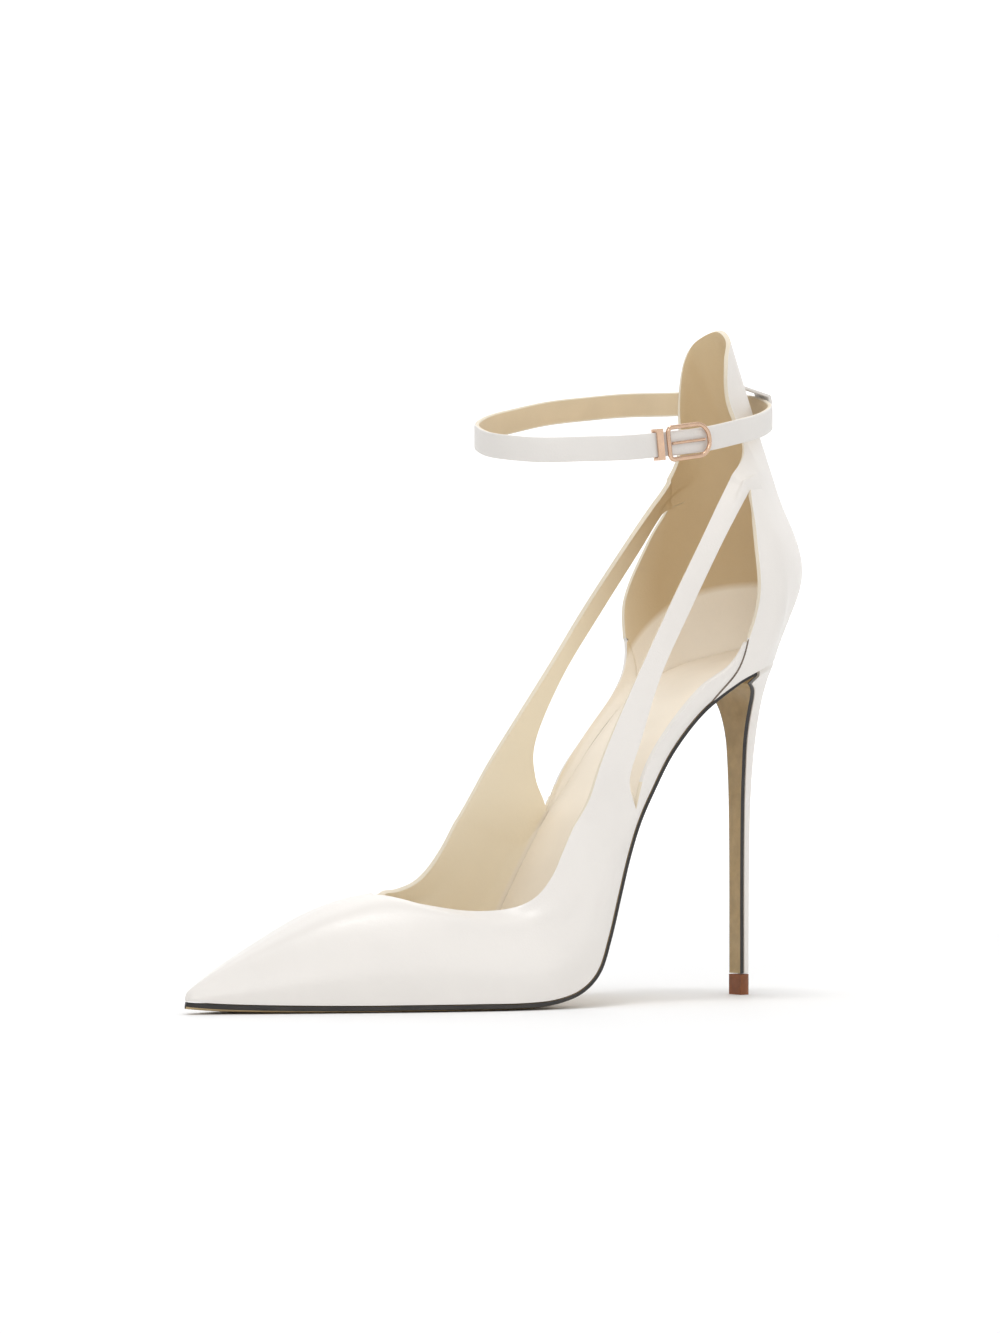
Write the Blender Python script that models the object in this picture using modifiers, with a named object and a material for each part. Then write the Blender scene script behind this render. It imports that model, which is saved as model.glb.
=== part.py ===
"""Ankle strap pump with a stiletto heel, a left shoe, built as separate named solids.

The shoe is laid out from its toe tip: "back" runs from the toe tip to the heel, "out" runs
from the middle line to either side, "up" rises from the floor. Side -1 is the outer side,
where the buckle sits, and side +1 is the inner side. All sizes are metres.
"""

import math
from collections import namedtuple

import bmesh
import bpy
from mathutils import Vector

# Driving sizes of the last
SHOE_LENGTH = 0.220
BALL_WIDTH = 0.075
HEEL_HEIGHT = 0.106
INSTEP_HEIGHT = 0.0346
TAB_RISE = 0.1023
TOE_SWING = 0.0015

# Leather, sole and footbed
UPPER_WALL = 0.0015
OUTSOLE_THICKNESS = 0.0020
SOLE_EDGE_BEVEL = 0.0009
BREAST_FLAP_THICKNESS = 0.0012
FOOTBED_THICKNESS = 0.0020
FOOTBED_MARGIN = 0.0010
SEAM_GAP = 0.0003

# Heel
SHAFT_WIDTH = 0.0062
SHAFT_DEPTH = 0.0029
BREAST_SHARE = 0.91
ROUNDNESS = 2.25
TOP_LIFT_HEIGHT = 0.0064
TOP_LIFT_LEDGE = 0.0002

# Ankle strap
STRAP_WIDTH = 0.0076
STRAP_THICKNESS = 0.0015
STRAP_LENGTH = 0.1012
STRAP_CLEARANCE_BEHIND_TAB = 0.0058
STRAP_HALF_WIDTH = 0.0285
STRAP_LEVEL = 0.0778
STRAP_SIDE_DROP = 0.0059
STRAP_BACK_RISE = 0.0063

# Buckle, keeper and back loop
BUCKLE_LENGTH = 0.0168
BUCKLE_HEIGHT = 0.0112
BUCKLE_WIRE = 0.0014
BUCKLE_CORNER = 0.0015
BUCKLE_ROUND_END = 0.92
BUCKLE_PLACE = math.radians(-87.0)
PRONG_WIRE = 0.0009
KEEPER_LENGTH = 0.0022
KEEPER_WALL = 0.0007
KEEPER_DISTANCE = 0.0100
BACK_LOOP_WIDTH = 0.0080
BACK_LOOP_THICKNESS = 0.0012
BACK_LOOP_HEIGHT = 0.0140

# How finely the curved surfaces are divided
SOLE_RINGS = 60
FOOTBED_RINGS = 58
WIRE_SIDES = 8
CORNER_STEPS = 5
STEPS_PER_SECTION = 3
LOW_ROWS = 6
HIGH_ROWS = 5
STRAP_STEPS = 72
HEEL_RING_STEPS = 22

HALF_BALL = BALL_WIDTH / 2
BREAST_PLACE = BREAST_SHARE * SHOE_LENGTH
ORIGIN_BACK = BREAST_PLACE + (SHAFT_DEPTH - BREAST_FLAP_THICKNESS) / 2

# Sole edge, section by section from the toe tip to the back of the heel seat.
# back: share of the shoe's length; out: share of half the ball width; up: share of the heel height
Feather = namedtuple("Feather", "back out up")
FEATHER = [Feather(*row) for row in (
    (0.000, 0.000, 0.017), (0.009, 0.070, 0.014), (0.045, 0.168, 0.008), (0.114, 0.360, 0.003),
    (0.205, 0.587, 0.000), (0.286, 0.773, 0.000), (0.364, 0.920, 0.000), (0.432, 0.995, 0.000),
    (0.486, 1.000, 0.008), (0.532, 0.976, 0.036), (0.568, 0.933, 0.094), (0.595, 0.859, 0.190),
    (0.620, 0.787, 0.311), (0.643, 0.720, 0.420), (0.666, 0.667, 0.514), (0.693, 0.621, 0.600),
    (0.732, 0.587, 0.717), (0.782, 0.589, 0.828), (0.836, 0.608, 0.904), (0.880, 0.587, 0.944),
    (0.898, 0.547, 0.957), (0.913, 0.485, 0.968), (0.930, 0.373, 0.981), (0.942, 0.248, 0.990),
    (0.949, 0.149, 0.995), (0.952, 0.075, 0.998), (0.953, 0.000, 0.999),
)]
# How far to either side the slope of a curve is read, in sections
SLOPE_REACH = 0.05
# From this section back the heel seat is one flat slope
SEAT = 19
# Sections where the outsole and the footbed begin, and how far before the last one the footbed ends
SOLE_START = 0.12
FOOTBED_START = 1.5
FOOTBED_END_GAP = 2.2
# Share of the sole's thickness left free before the heel's front edge
SEAT_FREE = 0.7
# How close to its edge the sole's underside begins to round off, a power of the width's share
EDGE_SHARPNESS = 12

# Edges above the sole edge, one row for each section of the same shoe.
# back and out as above; instep and tab: rise over the sole edge, shares of INSTEP_HEIGHT and
# TAB_RISE; ahead and higher: how far the inner side's edge runs ahead of the outer side's, share
# of the shoe's length, and how much higher it lies, share of INSTEP_HEIGHT
Edge = namedtuple("Edge", "back out instep tab ahead higher")
TOPLINE = [Edge(*row) for row in (
    (0.005, 0.000, 0.145, 0, 0, 0), (0.016, 0.000, 0.202, 0, 0, 0),
    (0.055, 0.000, 0.367, 0, 0, 0), (0.123, 0.000, 0.604, 0, 0, 0),
    (0.209, 0.000, 0.867, 0, 0, 0), (0.289, 0.000, 1.000, 0, 0, 0),
    (0.345, 0.373, 0.902, 0, 0.004, 0.070), (0.393, 0.573, 0.853, 0, 0.020, 0.140),
    (0.443, 0.693, 0.850, 0, 0.037, 0.125), (0.477, 0.747, 0.855, 0, 0.038, 0.090),
    (0.504, 0.752, 0.853, 0, 0.041, 0.030), (0.524, 0.741, 0.780, 0, 0.038, 0),
    (0.543, 0.720, 0.607, 0, 0.040, 0), (0.559, 0.699, 0.390, 0, 0.045, 0),
    (0.577, 0.675, 0.200, 0.020, 0.049, 0), (0.599, 0.635, 0.100, 0.061, 0.046, 0),
    (0.630, 0.587, 0, 0.088, 0.043, 0), (0.679, 0.539, 0, 0.149, 0.036, 0),
    (0.728, 0.533, 0, 0.256, 0.023, 0), (0.783, 0.520, 0, 0.414, 0.007, 0),
    (0.810, 0.501, 0, 0.496, 0, 0), (0.839, 0.459, 0, 0.572, 0, 0),
    (0.870, 0.400, 0, 0.652, 0.017, 0), (0.848, 0.358, 0, 0.792, 0, 0),
    (0.851, 0.315, 0, 0.905, 0, 0), (0.863, 0.245, 0, 0.968, 0, 0),
    (0.873, 0.000, 0, 1.000, 0, 0),
)]
# Line half way up the wall; along the cut-out it is the cut-out's lower and rear edge
WAIST_LINE = [Edge(*row) for row in (
    (0.001, 0.000, 0.098, 0, 0, 0), (0.012, 0.061, 0.121, 0, 0, 0),
    (0.049, 0.141, 0.228, 0, 0, 0), (0.118, 0.293, 0.402, 0, 0, 0),
    (0.207, 0.480, 0.578, 0, 0, 0), (0.288, 0.635, 0.673, 0, 0, 0),
    (0.359, 0.773, 0.645, 0, 0.002, 0.030), (0.420, 0.867, 0.607, 0, 0.010, 0.060),
    (0.470, 0.907, 0.624, 0, 0.018, 0.060), (0.511, 0.907, 0.645, 0, 0.022, 0.030),
    (0.543, 0.880, 0.621, 0, 0.020, 0), (0.570, 0.832, 0.549, 0, 0.014, 0),
    (0.598, 0.779, 0.390, 0, 0.008, 0), (0.625, 0.725, 0.223, 0, 0, -0.040),
    (0.653, 0.675, 0.100, 0.013, 0, -0.045), (0.673, 0.661, 0.030, 0.070, -0.005, -0.050),
    (0.709, 0.667, 0, 0.073, -0.012, -0.050), (0.764, 0.683, 0, 0.083, -0.008, -0.040),
    (0.822, 0.720, 0, 0.095, 0.026, 0), (0.850, 0.779, 0, 0.229, 0.048, 0),
    (0.853, 0.720, 0, 0.393, 0.018, 0), (0.857, 0.595, 0, 0.538, 0, -0.130),
    (0.895, 0.496, 0, 0.530, 0, -0.040), (0.925, 0.360, 0, 0.523, 0, 0),
    (0.945, 0.235, 0, 0.518, 0, 0), (0.958, 0.117, 0, 0.515, 0, 0),
    (0.962, 0.000, 0, 0.513, 0, 0),
)]
# The section where the throat opens, and the cut-out's front and upper edge inside its sections
THROAT = 5
CUTOUT_FRONT = 14
CUTOUT_TOP = 21
CUTOUT_EDGE = [Edge(*row) for row in (
    (0.643, 0.672, 0.030, 0.038, 0.010, 0), (0.666, 0.640, 0, 0.044, 0.036, 0),
    (0.705, 0.600, 0, 0.124, 0.034, 0), (0.755, 0.587, 0, 0.237, 0.021, 0),
    (0.807, 0.587, 0, 0.390, 0.005, 0), (0.833, 0.592, 0, 0.469, 0, 0),
)]

# Swell of the wall between those lines, shares of the ball width
Swell = namedtuple("Swell", "low_back low_out high_out high_up")
SWELL = [Swell(*row) for row in (
    (0, 0, 0, 0.004), (0, 0.004, 0.006, 0.006), (0, 0.009, 0.010, 0.016),
    (0, 0.020, 0.014, 0.026), (0, 0.032, 0.022, 0.036), (0, 0.039, 0.028, 0.041),
    (0, 0.040, 0.027, 0.026), (0, 0.037, 0.020, 0.016), (0, 0.032, 0.014, 0.010),
    (0, 0.027, 0.010, 0.006), (0, 0.021, 0.008, 0.004), (0, 0.013, 0.006, 0.002),
    (0, 0.008, 0.005, 0), (0, 0.005, 0.004, 0), (0, 0.004, 0.003, 0), (0, 0.005, 0.002, 0),
    (0, 0.008, 0.002, 0), (0, 0.010, 0.002, 0), (0.003, 0.012, 0.002, 0),
    (0.020, 0.038, 0.002, 0), (0.059, 0.067, 0.002, 0), (0.083, 0.081, 0, 0),
    (0.103, 0.060, 0, 0), (0.113, 0.048, 0, 0), (0.120, 0.027, 0, 0), (0.115, 0.010, 0, 0),
    (0.112, 0, 0, 0),
)]

# Heel, from its foot to its seat. up: share of the heel height; front and back: offsets from
# the breast and from the shaft's back, shares of the shaft's width; half: share of the same
# width; tilt: how much higher the back of the section lies, share of its height
HeelRow = namedtuple("HeelRow", "up front back half tilt")
HEEL_ROWS = [HeelRow(*row) for row in (
    (0.150, 0.00, 0.00, 0.50, 0.000), (0.300, 0.00, 0.03, 0.50, 0.000),
    (0.450, 0.00, 0.06, 0.52, 0.000), (0.580, 0.00, 0.12, 0.57, 0.000),
    (0.680, 0.00, 0.23, 0.67, 0.002), (0.750, -0.01, 0.36, 0.79, 0.006),
    (0.805, -0.04, 0.46, 1.02, 0.014), (0.850, -0.10, 0.54, 1.34, 0.026),
    (0.882, -0.24, 0.62, 1.72, 0.038), (0.906, -0.56, 0.68, 2.20, 0.052),
    (0.922, -1.12, 0.76, 2.75, 0.060),
)]


def across(start, end, share):
    """Point between two vectors."""
    return start + (end - start) * share


SLAB_SHARES = (-1, -0.92, -0.5, 0, 0.5, 0.92, 1)


def spline(points, place, first=0, last=None, mirrored=False):
    """Smooth curve through the points first..last, read at a place counted in points.

    A mirrored curve meets its own mirror image at its last point without a corner.
    """
    last = len(points) - 1 if last is None else last
    index = min(max(int(math.floor(place)), first), last - 1)
    share = place - index
    before = points[index - 1] if index > first else 2 * points[index] - points[index + 1]
    if index + 2 <= last:
        after = points[index + 2]
    elif mirrored:
        after = points[index] * Vector((1, -1, 1))
    else:
        after = 2 * points[index + 1] - points[index]
    here, there = points[index], points[index + 1]
    return (here + (there - before) * (0.5 * share)
            + (2 * before - 5 * here + 4 * there - after) * (0.5 * share ** 2)
            + (3 * here - before - 3 * there + after) * (0.5 * share ** 3))


def swing(back):
    """The toe turns a little to the inner side."""
    ahead = max(0.0, 1 - 2 * back / SHOE_LENGTH)
    return TOE_SWING * ahead ** 2


def placed(back, across_foot, up):
    """Point of the part from its place on the shoe."""
    return Vector((back - ORIGIN_BACK, across_foot + swing(back), up))


FEATHER_POINTS = [Vector((row.back * SHOE_LENGTH, row.out * HALF_BALL, row.up * HEEL_HEIGHT))
                  for row in FEATHER]


def sole_normal(place):
    """Upward normal of the sole's side profile at a section place."""
    place = min(place, SEAT)
    low = spline(FEATHER_POINTS, max(place - SLOPE_REACH, 0))
    high = spline(FEATHER_POINTS, place + SLOPE_REACH)
    run = Vector((high.x - low.x, 0, high.z - low.z)).normalized()
    return Vector((-run.z, 0, run.x))


def sole_point(place, rise):
    """Point of the sole edge, lifted square to the sole by rise."""
    return spline(FEATHER_POINTS, place) + sole_normal(place) * rise


def edge_point(row, section, side):
    """Point of an upper edge over its own section of the sole."""
    inner = 1 if side > 0 else 0
    up = FEATHER_POINTS[section].z + row.tab * TAB_RISE
    up += (row.instep + inner * row.higher) * INSTEP_HEIGHT
    return Vector(((row.back - inner * row.ahead) * SHOE_LENGTH, row.out * HALF_BALL, up))


def rib(side, section):
    """Lower and upper rows of wall points at one section."""
    swell = SWELL[section]
    foot = FEATHER_POINTS[section] + sole_normal(section) * (OUTSOLE_THICKNESS + SEAM_GAP)
    top = edge_point(TOPLINE[section], section, side)
    waist = edge_point(WAIST_LINE[section], section, side)
    edge = waist
    if CUTOUT_FRONT < section < CUTOUT_TOP:
        edge = edge_point(CUTOUT_EDGE[section - CUTOUT_FRONT - 1], section, side)
    low_mid = across(foot, waist, 0.5) + Vector((swell.low_back, swell.low_out, 0)) * BALL_WIDTH
    high_mid = across(edge, top, 0.5) + Vector((0, swell.high_out, swell.high_up)) * BALL_WIDTH
    if edge is waist:
        line = [foot, low_mid, waist, high_mid, top]
        low = [spline(line, 2 * row / LOW_ROWS) for row in range(LOW_ROWS + 1)]
        high = [spline(line, 2 + 2 * row / HIGH_ROWS) for row in range(HIGH_ROWS + 1)]
        return low, high
    low = [spline([foot, low_mid, waist], 2 * row / LOW_ROWS) for row in range(LOW_ROWS + 1)]
    high = [spline([edge, high_mid, top], 2 * row / HIGH_ROWS) for row in range(HIGH_ROWS + 1)]
    return low, high


def wall_columns(side):
    """Columns of wall points along one side of the upper, with the cut-out left open."""
    ribs = [rib(side, section) for section in range(len(FEATHER))]
    last = len(FEATHER) - 1
    columns = []
    for step in range(last * STEPS_PER_SECTION + 1):
        place = step / STEPS_PER_SECTION
        low = [sole_point(place, OUTSOLE_THICKNESS + SEAM_GAP)]
        low += [spline([r[0][row] for r in ribs], place, mirrored=True) for row in range(1, LOW_ROWS)]
        high = [spline([r[1][row] for r in ribs], place, mirrored=True) for row in range(1, HIGH_ROWS)]
        open_span = (0, THROAT) if place <= THROAT else (THROAT, last)
        high.append(spline([r[1][-1] for r in ribs], place, *open_span, mirrored=place > THROAT))
        if CUTOUT_FRONT < place < CUTOUT_TOP:
            span = (CUTOUT_FRONT, CUTOUT_TOP)
            lower = spline([r[0][-1] for r in ribs], place, *span)
            upper = spline([r[1][0] for r in ribs], place, *span)
        elif place <= CUTOUT_FRONT:
            lower = upper = spline([r[0][-1] for r in ribs], place, 0, CUTOUT_FRONT)
        else:
            lower = upper = spline([r[0][-1] for r in ribs], place, CUTOUT_TOP, last, mirrored=True)
        columns.append((low + [lower], [upper] + high))
    return columns


def collection(name):
    """New collection in the scene."""
    made = bpy.data.collections.new(name)
    bpy.context.scene.collection.children.link(made)
    return made


def material(name, color, roughness, metallic=0.0):
    """Plain Principled material."""
    made = bpy.data.materials.new(name)
    made.use_nodes = True
    shader = made.node_tree.nodes["Principled BSDF"]
    shader.inputs["Base Color"].default_value = (*color, 1)
    shader.inputs["Roughness"].default_value = roughness
    shader.inputs["Metallic"].default_value = metallic
    return made


def add_mesh(name, mesh_data, shade, home, sharp=40.0):
    """Object from a bmesh, with smooth shading."""
    bmesh.ops.recalc_face_normals(mesh_data, faces=mesh_data.faces)
    mesh = bpy.data.meshes.new(name)
    mesh_data.to_mesh(mesh)
    mesh_data.free()
    mesh.materials.append(shade)
    mesh.shade_smooth()
    mesh.set_sharp_from_angle(angle=math.radians(sharp))
    made = bpy.data.objects.new(name, mesh)
    home.objects.link(made)
    return made


def loft(rings, close_rows=True):
    """Closed solid through rings of equally many points, with flat ends."""
    made = bmesh.new()
    verts = [[made.verts.new(point) for point in ring] for ring in rings]
    count = len(rings[0])
    for here, there in zip(verts, verts[1:]):
        for index in range(count):
            after = (index + 1) % count
            made.faces.new((here[index], here[after], there[after], there[index]))
    if close_rows:
        made.faces.new(list(reversed(verts[0])))
        made.faces.new(verts[-1])
    else:
        for index in range(count):
            after = (index + 1) % count
            made.faces.new((verts[-1][index], verts[-1][after], verts[0][after], verts[0][index]))
    return made


def build_upper(shade, home):
    """Vamp, side strips, rands, counter and tab as one hollow wall."""
    made = bmesh.new()
    for side in (-1, 1):
        columns = wall_columns(side)
        grid = []
        for low, high in columns:
            grid.append([[made.verts.new(placed(p.x, side * max(p.y, 0), p.z)) for p in band]
                         for band in (low, high)])
        for here, there in zip(grid, grid[1:]):
            for band in (0, 1):
                for row in range(len(here[band]) - 1):
                    corners = (here[band][row], there[band][row],
                               there[band][row + 1], here[band][row + 1])
                    made.faces.new(corners if side < 0 else reversed(corners))
    bmesh.ops.remove_doubles(made, verts=made.verts, dist=0.00005)
    bmesh.ops.dissolve_degenerate(made, dist=0.00001, edges=made.edges)
    bmesh.ops.recalc_face_normals(made, faces=made.faces)
    upper = add_mesh("upper", made, shade, home)
    wall = upper.modifiers.new("wall", "SOLIDIFY")
    wall.thickness = UPPER_WALL
    wall.offset = -1
    wall.use_even_offset = False
    wall.use_rim = True
    return upper


def inset_edge(place, margin):
    """Place along the sole and half width of the sole edge moved inwards by margin."""
    edge = spline(FEATHER_POINTS, place)
    ahead = spline(FEATHER_POINTS, place + SLOPE_REACH) - spline(FEATHER_POINTS, place - SLOPE_REACH)
    plan = math.hypot(ahead.x, ahead.y)
    return edge.x + margin * ahead.y / plan, edge.y - margin * ahead.x / plan


def slab_ring(place, half, low_rise, high_rise, bevel=0.0):
    """Cross-section of a slab at a section place, with its lower edges rounded off."""
    high = sole_point(place, high_rise)
    ring = []
    for share in SLAB_SHARES:
        low = sole_point(place, low_rise + bevel * abs(share) ** EDGE_SHARPNESS)
        ring.append(placed(low.x, share * half, low.z))
    return ring + [placed(high.x, share * half, high.z) for share in reversed(SLAB_SHARES)]


def heel_profile(row):
    """Front, back, half width and the two heights of one heel section."""
    front = BREAST_PLACE + row.front * SHAFT_WIDTH
    back = BREAST_PLACE + SHAFT_DEPTH + row.back * SHAFT_WIDTH
    return front, back, row.half * SHAFT_WIDTH, row.up * HEEL_HEIGHT, row.tilt * HEEL_HEIGHT


def section_at(back):
    """Section place whose sole edge lies at a length along the shoe."""
    low, high = 0.0, len(FEATHER) - 1.0
    for _ in range(40):
        middle = (low + high) / 2
        if spline(FEATHER_POINTS, middle).x < back:
            low = middle
        else:
            high = middle
    return (low + high) / 2


def breast_line():
    """Front of the heel from the seat down to the top lift, as (back, up, half width)."""
    rows = []
    for row in reversed(HEEL_ROWS):
        front, _, half, up, _ = heel_profile(row)
        rows.append((front, up, half))
    rows.append((BREAST_PLACE, TOP_LIFT_HEIGHT + SEAM_GAP, SHAFT_WIDTH / 2))
    return rows


def build_outsole(shade, home):
    """Forepart and waist of the sole with the thin flap that covers the heel breast."""
    seat_front = BREAST_PLACE + HEEL_ROWS[-1].front * SHAFT_WIDTH
    end = section_at(seat_front - SEAT_FREE * OUTSOLE_THICKNESS)
    rings = []
    for step in range(SOLE_RINGS + 1):
        place = SOLE_START + (end - SOLE_START) * step / SOLE_RINGS
        half = spline(FEATHER_POINTS, place).y
        rings.append(slab_ring(place, half, 0.0, OUTSOLE_THICKNESS, SOLE_EDGE_BEVEL))
    for back, up, half in breast_line():
        inner = back - SEAM_GAP
        outer = inner - BREAST_FLAP_THICKNESS
        wide = half - 0.5 * SEAM_GAP
        ring = [placed(outer, share * wide, up) for share in SLAB_SHARES]
        rings.append(ring + [placed(inner, share * wide, up) for share in reversed(SLAB_SHARES)])
    return add_mesh("outsole", loft(rings), shade, home)


def build_insole(shade, home):
    """Footbed inside the walls, over the sole and the heel seat."""
    margin = UPPER_WALL + FOOTBED_MARGIN
    low = OUTSOLE_THICKNESS + SEAM_GAP
    end = len(FEATHER) - FOOTBED_END_GAP
    rings = []
    for step in range(FOOTBED_RINGS + 1):
        place = FOOTBED_START + (end - FOOTBED_START) * step / FOOTBED_RINGS
        back, half = inset_edge(place, margin)
        if half > margin / 3:
            rings.append(slab_ring(section_at(back), half, low, low + FOOTBED_THICKNESS))
    return add_mesh("insole", loft(rings), shade, home)


def heel_ring(front, back, half, up, tilt):
    """D-shaped section: flat in front, round behind."""
    ring = []
    power = 2 / ROUNDNESS
    for step in range(HEEL_RING_STEPS + 1):
        turn = math.pi * (step / HEEL_RING_STEPS - 0.5)
        along = math.cos(turn) ** power
        aside = math.copysign(abs(math.sin(turn)) ** power, turn)
        ring.append(placed(front + (back - front) * along, half * aside, up + tilt * along))
    return ring


def build_heel(shade, home):
    """Covered stiletto heel with a flared seat."""
    rings = [heel_ring(BREAST_PLACE, BREAST_PLACE + SHAFT_DEPTH, SHAFT_WIDTH / 2,
                       TOP_LIFT_HEIGHT + SEAM_GAP, 0)]
    for row in HEEL_ROWS:
        rings.append(heel_ring(*heel_profile(row)))
    front = rings[-1][0].x + ORIGIN_BACK
    for rise in (0.0, OUTSOLE_THICKNESS):
        ring = []
        end = len(FEATHER) - 1
        start = section_at(front)
        half_steps = HEEL_RING_STEPS // 2
        for step in range(-half_steps, half_steps + 1):
            place = end - (end - start) * abs(step) / half_steps
            point = sole_point(place, rise)
            ring.append(placed(max(point.x, front), math.copysign(point.y, step), point.z))
        rings.append(ring)
    return add_mesh("heel", loft(rings), shade, home, sharp=50)


def build_top_lift(shade, home):
    """Rubber or plastic piece that meets the floor."""
    ledge = TOP_LIFT_LEDGE
    front = BREAST_PLACE - BREAST_FLAP_THICKNESS - ledge
    back = BREAST_PLACE + SHAFT_DEPTH + ledge
    rings = [heel_ring(front, back, SHAFT_WIDTH / 2 + ledge, up, 0) for up in (0, TOP_LIFT_HEIGHT)]
    return add_mesh("top_lift", loft(rings), shade, home, sharp=50)


def tab_back(up):
    """Place of the back middle line of the counter and tab at a height."""
    last = len(FEATHER) - 1
    line = rib(-1, last)[0] + rib(-1, last)[1][1:]
    for here, there in zip(line, line[1:]):
        if here.z <= up <= there.z:
            return here.x + (there.x - here.x) * (up - here.z) / (there.z - here.z)
    return line[-1].x


STRAP_MIDDLE_UP = HEEL_HEIGHT + STRAP_LEVEL
STRAP_BACK = tab_back(STRAP_MIDDLE_UP) + STRAP_CLEARANCE_BEHIND_TAB
STRAP_HALF_LENGTH = STRAP_LENGTH / 2
STRAP_CENTRE = STRAP_BACK - STRAP_HALF_LENGTH


def strap_point(turn, outward, up):
    """Point on the strap's ring: turn 0 is the back, negative turns are the outer side."""
    base_back = STRAP_CENTRE + STRAP_HALF_LENGTH * math.cos(turn)
    base_side = STRAP_HALF_WIDTH * math.sin(turn)
    normal = Vector((math.cos(turn) / STRAP_HALF_LENGTH, math.sin(turn) / STRAP_HALF_WIDTH, 0))
    normal.normalize()
    level = STRAP_MIDDLE_UP + STRAP_SIDE_DROP * math.sin(turn)
    level -= STRAP_BACK_RISE * (1 - math.cos(turn))
    return placed(base_back + normal.x * outward, base_side + normal.y * outward, level + up)


def strap_frame(turn):
    """Place, forward direction and outward direction of the strap at a turn."""
    here = strap_point(turn, 0, 0)
    ahead = (strap_point(turn - 0.01, 0, 0) - here).normalized()
    out = (strap_point(turn, 0.001, 0) - here).normalized()
    return here, ahead, out


def build_strap(shade, home):
    """Ankle strap as a closed band."""
    rings = []
    half = STRAP_WIDTH / 2
    thick = STRAP_THICKNESS
    edge = 0.25 * thick
    outline = ((0, -half + edge), (edge, -half), (thick - edge, -half), (thick, -half + edge),
               (thick, half - edge), (thick - edge, half), (edge, half), (0, half - edge))
    for step in range(STRAP_STEPS):
        turn = 2 * math.pi * step / STRAP_STEPS
        rings.append([strap_point(turn, out, up) for out, up in outline])
    return add_mesh("ankle_strap", loft(rings, close_rows=False), shade, home, sharp=60)


def build_keeper(shade, home):
    """Metal keeper around the strap, ahead of the buckle."""
    turn = BUCKLE_PLACE - KEEPER_DISTANCE / STRAP_HALF_LENGTH
    here, ahead, out = strap_frame(turn)
    up = ahead.cross(out).normalized()
    up = up if up.z > 0 else -up
    inner_out = (-SEAM_GAP, STRAP_THICKNESS + SEAM_GAP)
    half = STRAP_WIDTH / 2 + SEAM_GAP
    wall = KEEPER_WALL
    inside = [(inner_out[0], -half), (inner_out[1], -half), (inner_out[1], half), (inner_out[0], half)]
    outside = [(inner_out[0] - wall, -half - wall), (inner_out[1] + wall, -half - wall),
               (inner_out[1] + wall, half + wall), (inner_out[0] - wall, half + wall)]
    made = bmesh.new()
    faces = []
    for along in (-KEEPER_LENGTH / 2, KEEPER_LENGTH / 2):
        faces.append([[made.verts.new(here + ahead * along + out * a + up * b) for a, b in loop]
                      for loop in (inside, outside)])
    for index in range(4):
        after = (index + 1) % 4
        for loop in (0, 1):
            made.faces.new((faces[0][loop][index], faces[0][loop][after],
                            faces[1][loop][after], faces[1][loop][index]))
        for end in (0, 1):
            made.faces.new((faces[end][0][index], faces[end][0][after],
                            faces[end][1][after], faces[end][1][index]))
    return add_mesh("keeper", made, shade, home)


def wire(name, points, radius, shade, home, closed):
    """Round wire through points, as a mesh of one body."""
    rings = []
    count = len(points)
    for index, point in enumerate(points):
        if closed:
            run = points[(index + 1) % count] - points[index - 1]
        else:
            run = points[min(index + 1, count - 1)] - points[max(index - 1, 0)]
        run.normalize()
        first = run.cross(Vector((0, 0, 1)) if abs(run.z) < 0.8 else Vector((1, 0.4, 0)))
        first.normalize()
        second = run.cross(first)
        if rings:
            gap = rings[-1][0] - points[index - 1]
            first = (gap - run * gap.dot(run)).normalized()
            second = run.cross(first)
        rings.append([point + (first * math.cos(a) + second * math.sin(a)) * radius
                      for a in (2 * math.pi * s / WIRE_SIDES for s in range(WIRE_SIDES))])
    return add_mesh(name, loft(rings, close_rows=not closed), shade, home, sharp=60)


def build_buckle(shade, home):
    """Frame with a rounded end, lying on the strap, and its prong."""
    here, ahead, out = strap_frame(BUCKLE_PLACE)
    up = Vector((0, 0, 1))
    up = (up - ahead * up.dot(ahead)).normalized()
    lift = STRAP_THICKNESS + SEAM_GAP + BUCKLE_WIRE / 2
    half_long = BUCKLE_LENGTH / 2 - BUCKLE_WIRE / 2
    half_high = BUCKLE_HEIGHT / 2 - BUCKLE_WIRE / 2
    corner = BUCKLE_ROUND_END * half_high
    points = []
    for sign_long, sign_high, start, round_by in ((1, -1, -90, BUCKLE_CORNER),
                                                  (1, 1, 0, BUCKLE_CORNER),
                                                  (-1, 1, 90, corner), (-1, -1, 180, corner)):
        for step in range(CORNER_STEPS + 1):
            angle = math.radians(start + 90 * step / CORNER_STEPS)
            long = sign_long * (half_long - round_by) + round_by * math.cos(angle)
            high = sign_high * (half_high - round_by) + round_by * math.sin(angle)
            points.append(here + ahead * long + up * high + out * lift)
    wire("buckle", points, BUCKLE_WIRE / 2, shade, home, True)
    reach = half_long - BUCKLE_WIRE / 2 - SEAM_GAP - PRONG_WIRE / 2
    prong = [here + ahead * (reach * share) + out * (STRAP_THICKNESS + SEAM_GAP + PRONG_WIRE / 2)
             for share in (-1, -0.5, 0, 0.5, 1)]
    wire("buckle_prong", prong, PRONG_WIRE / 2, shade, home, False)


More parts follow.
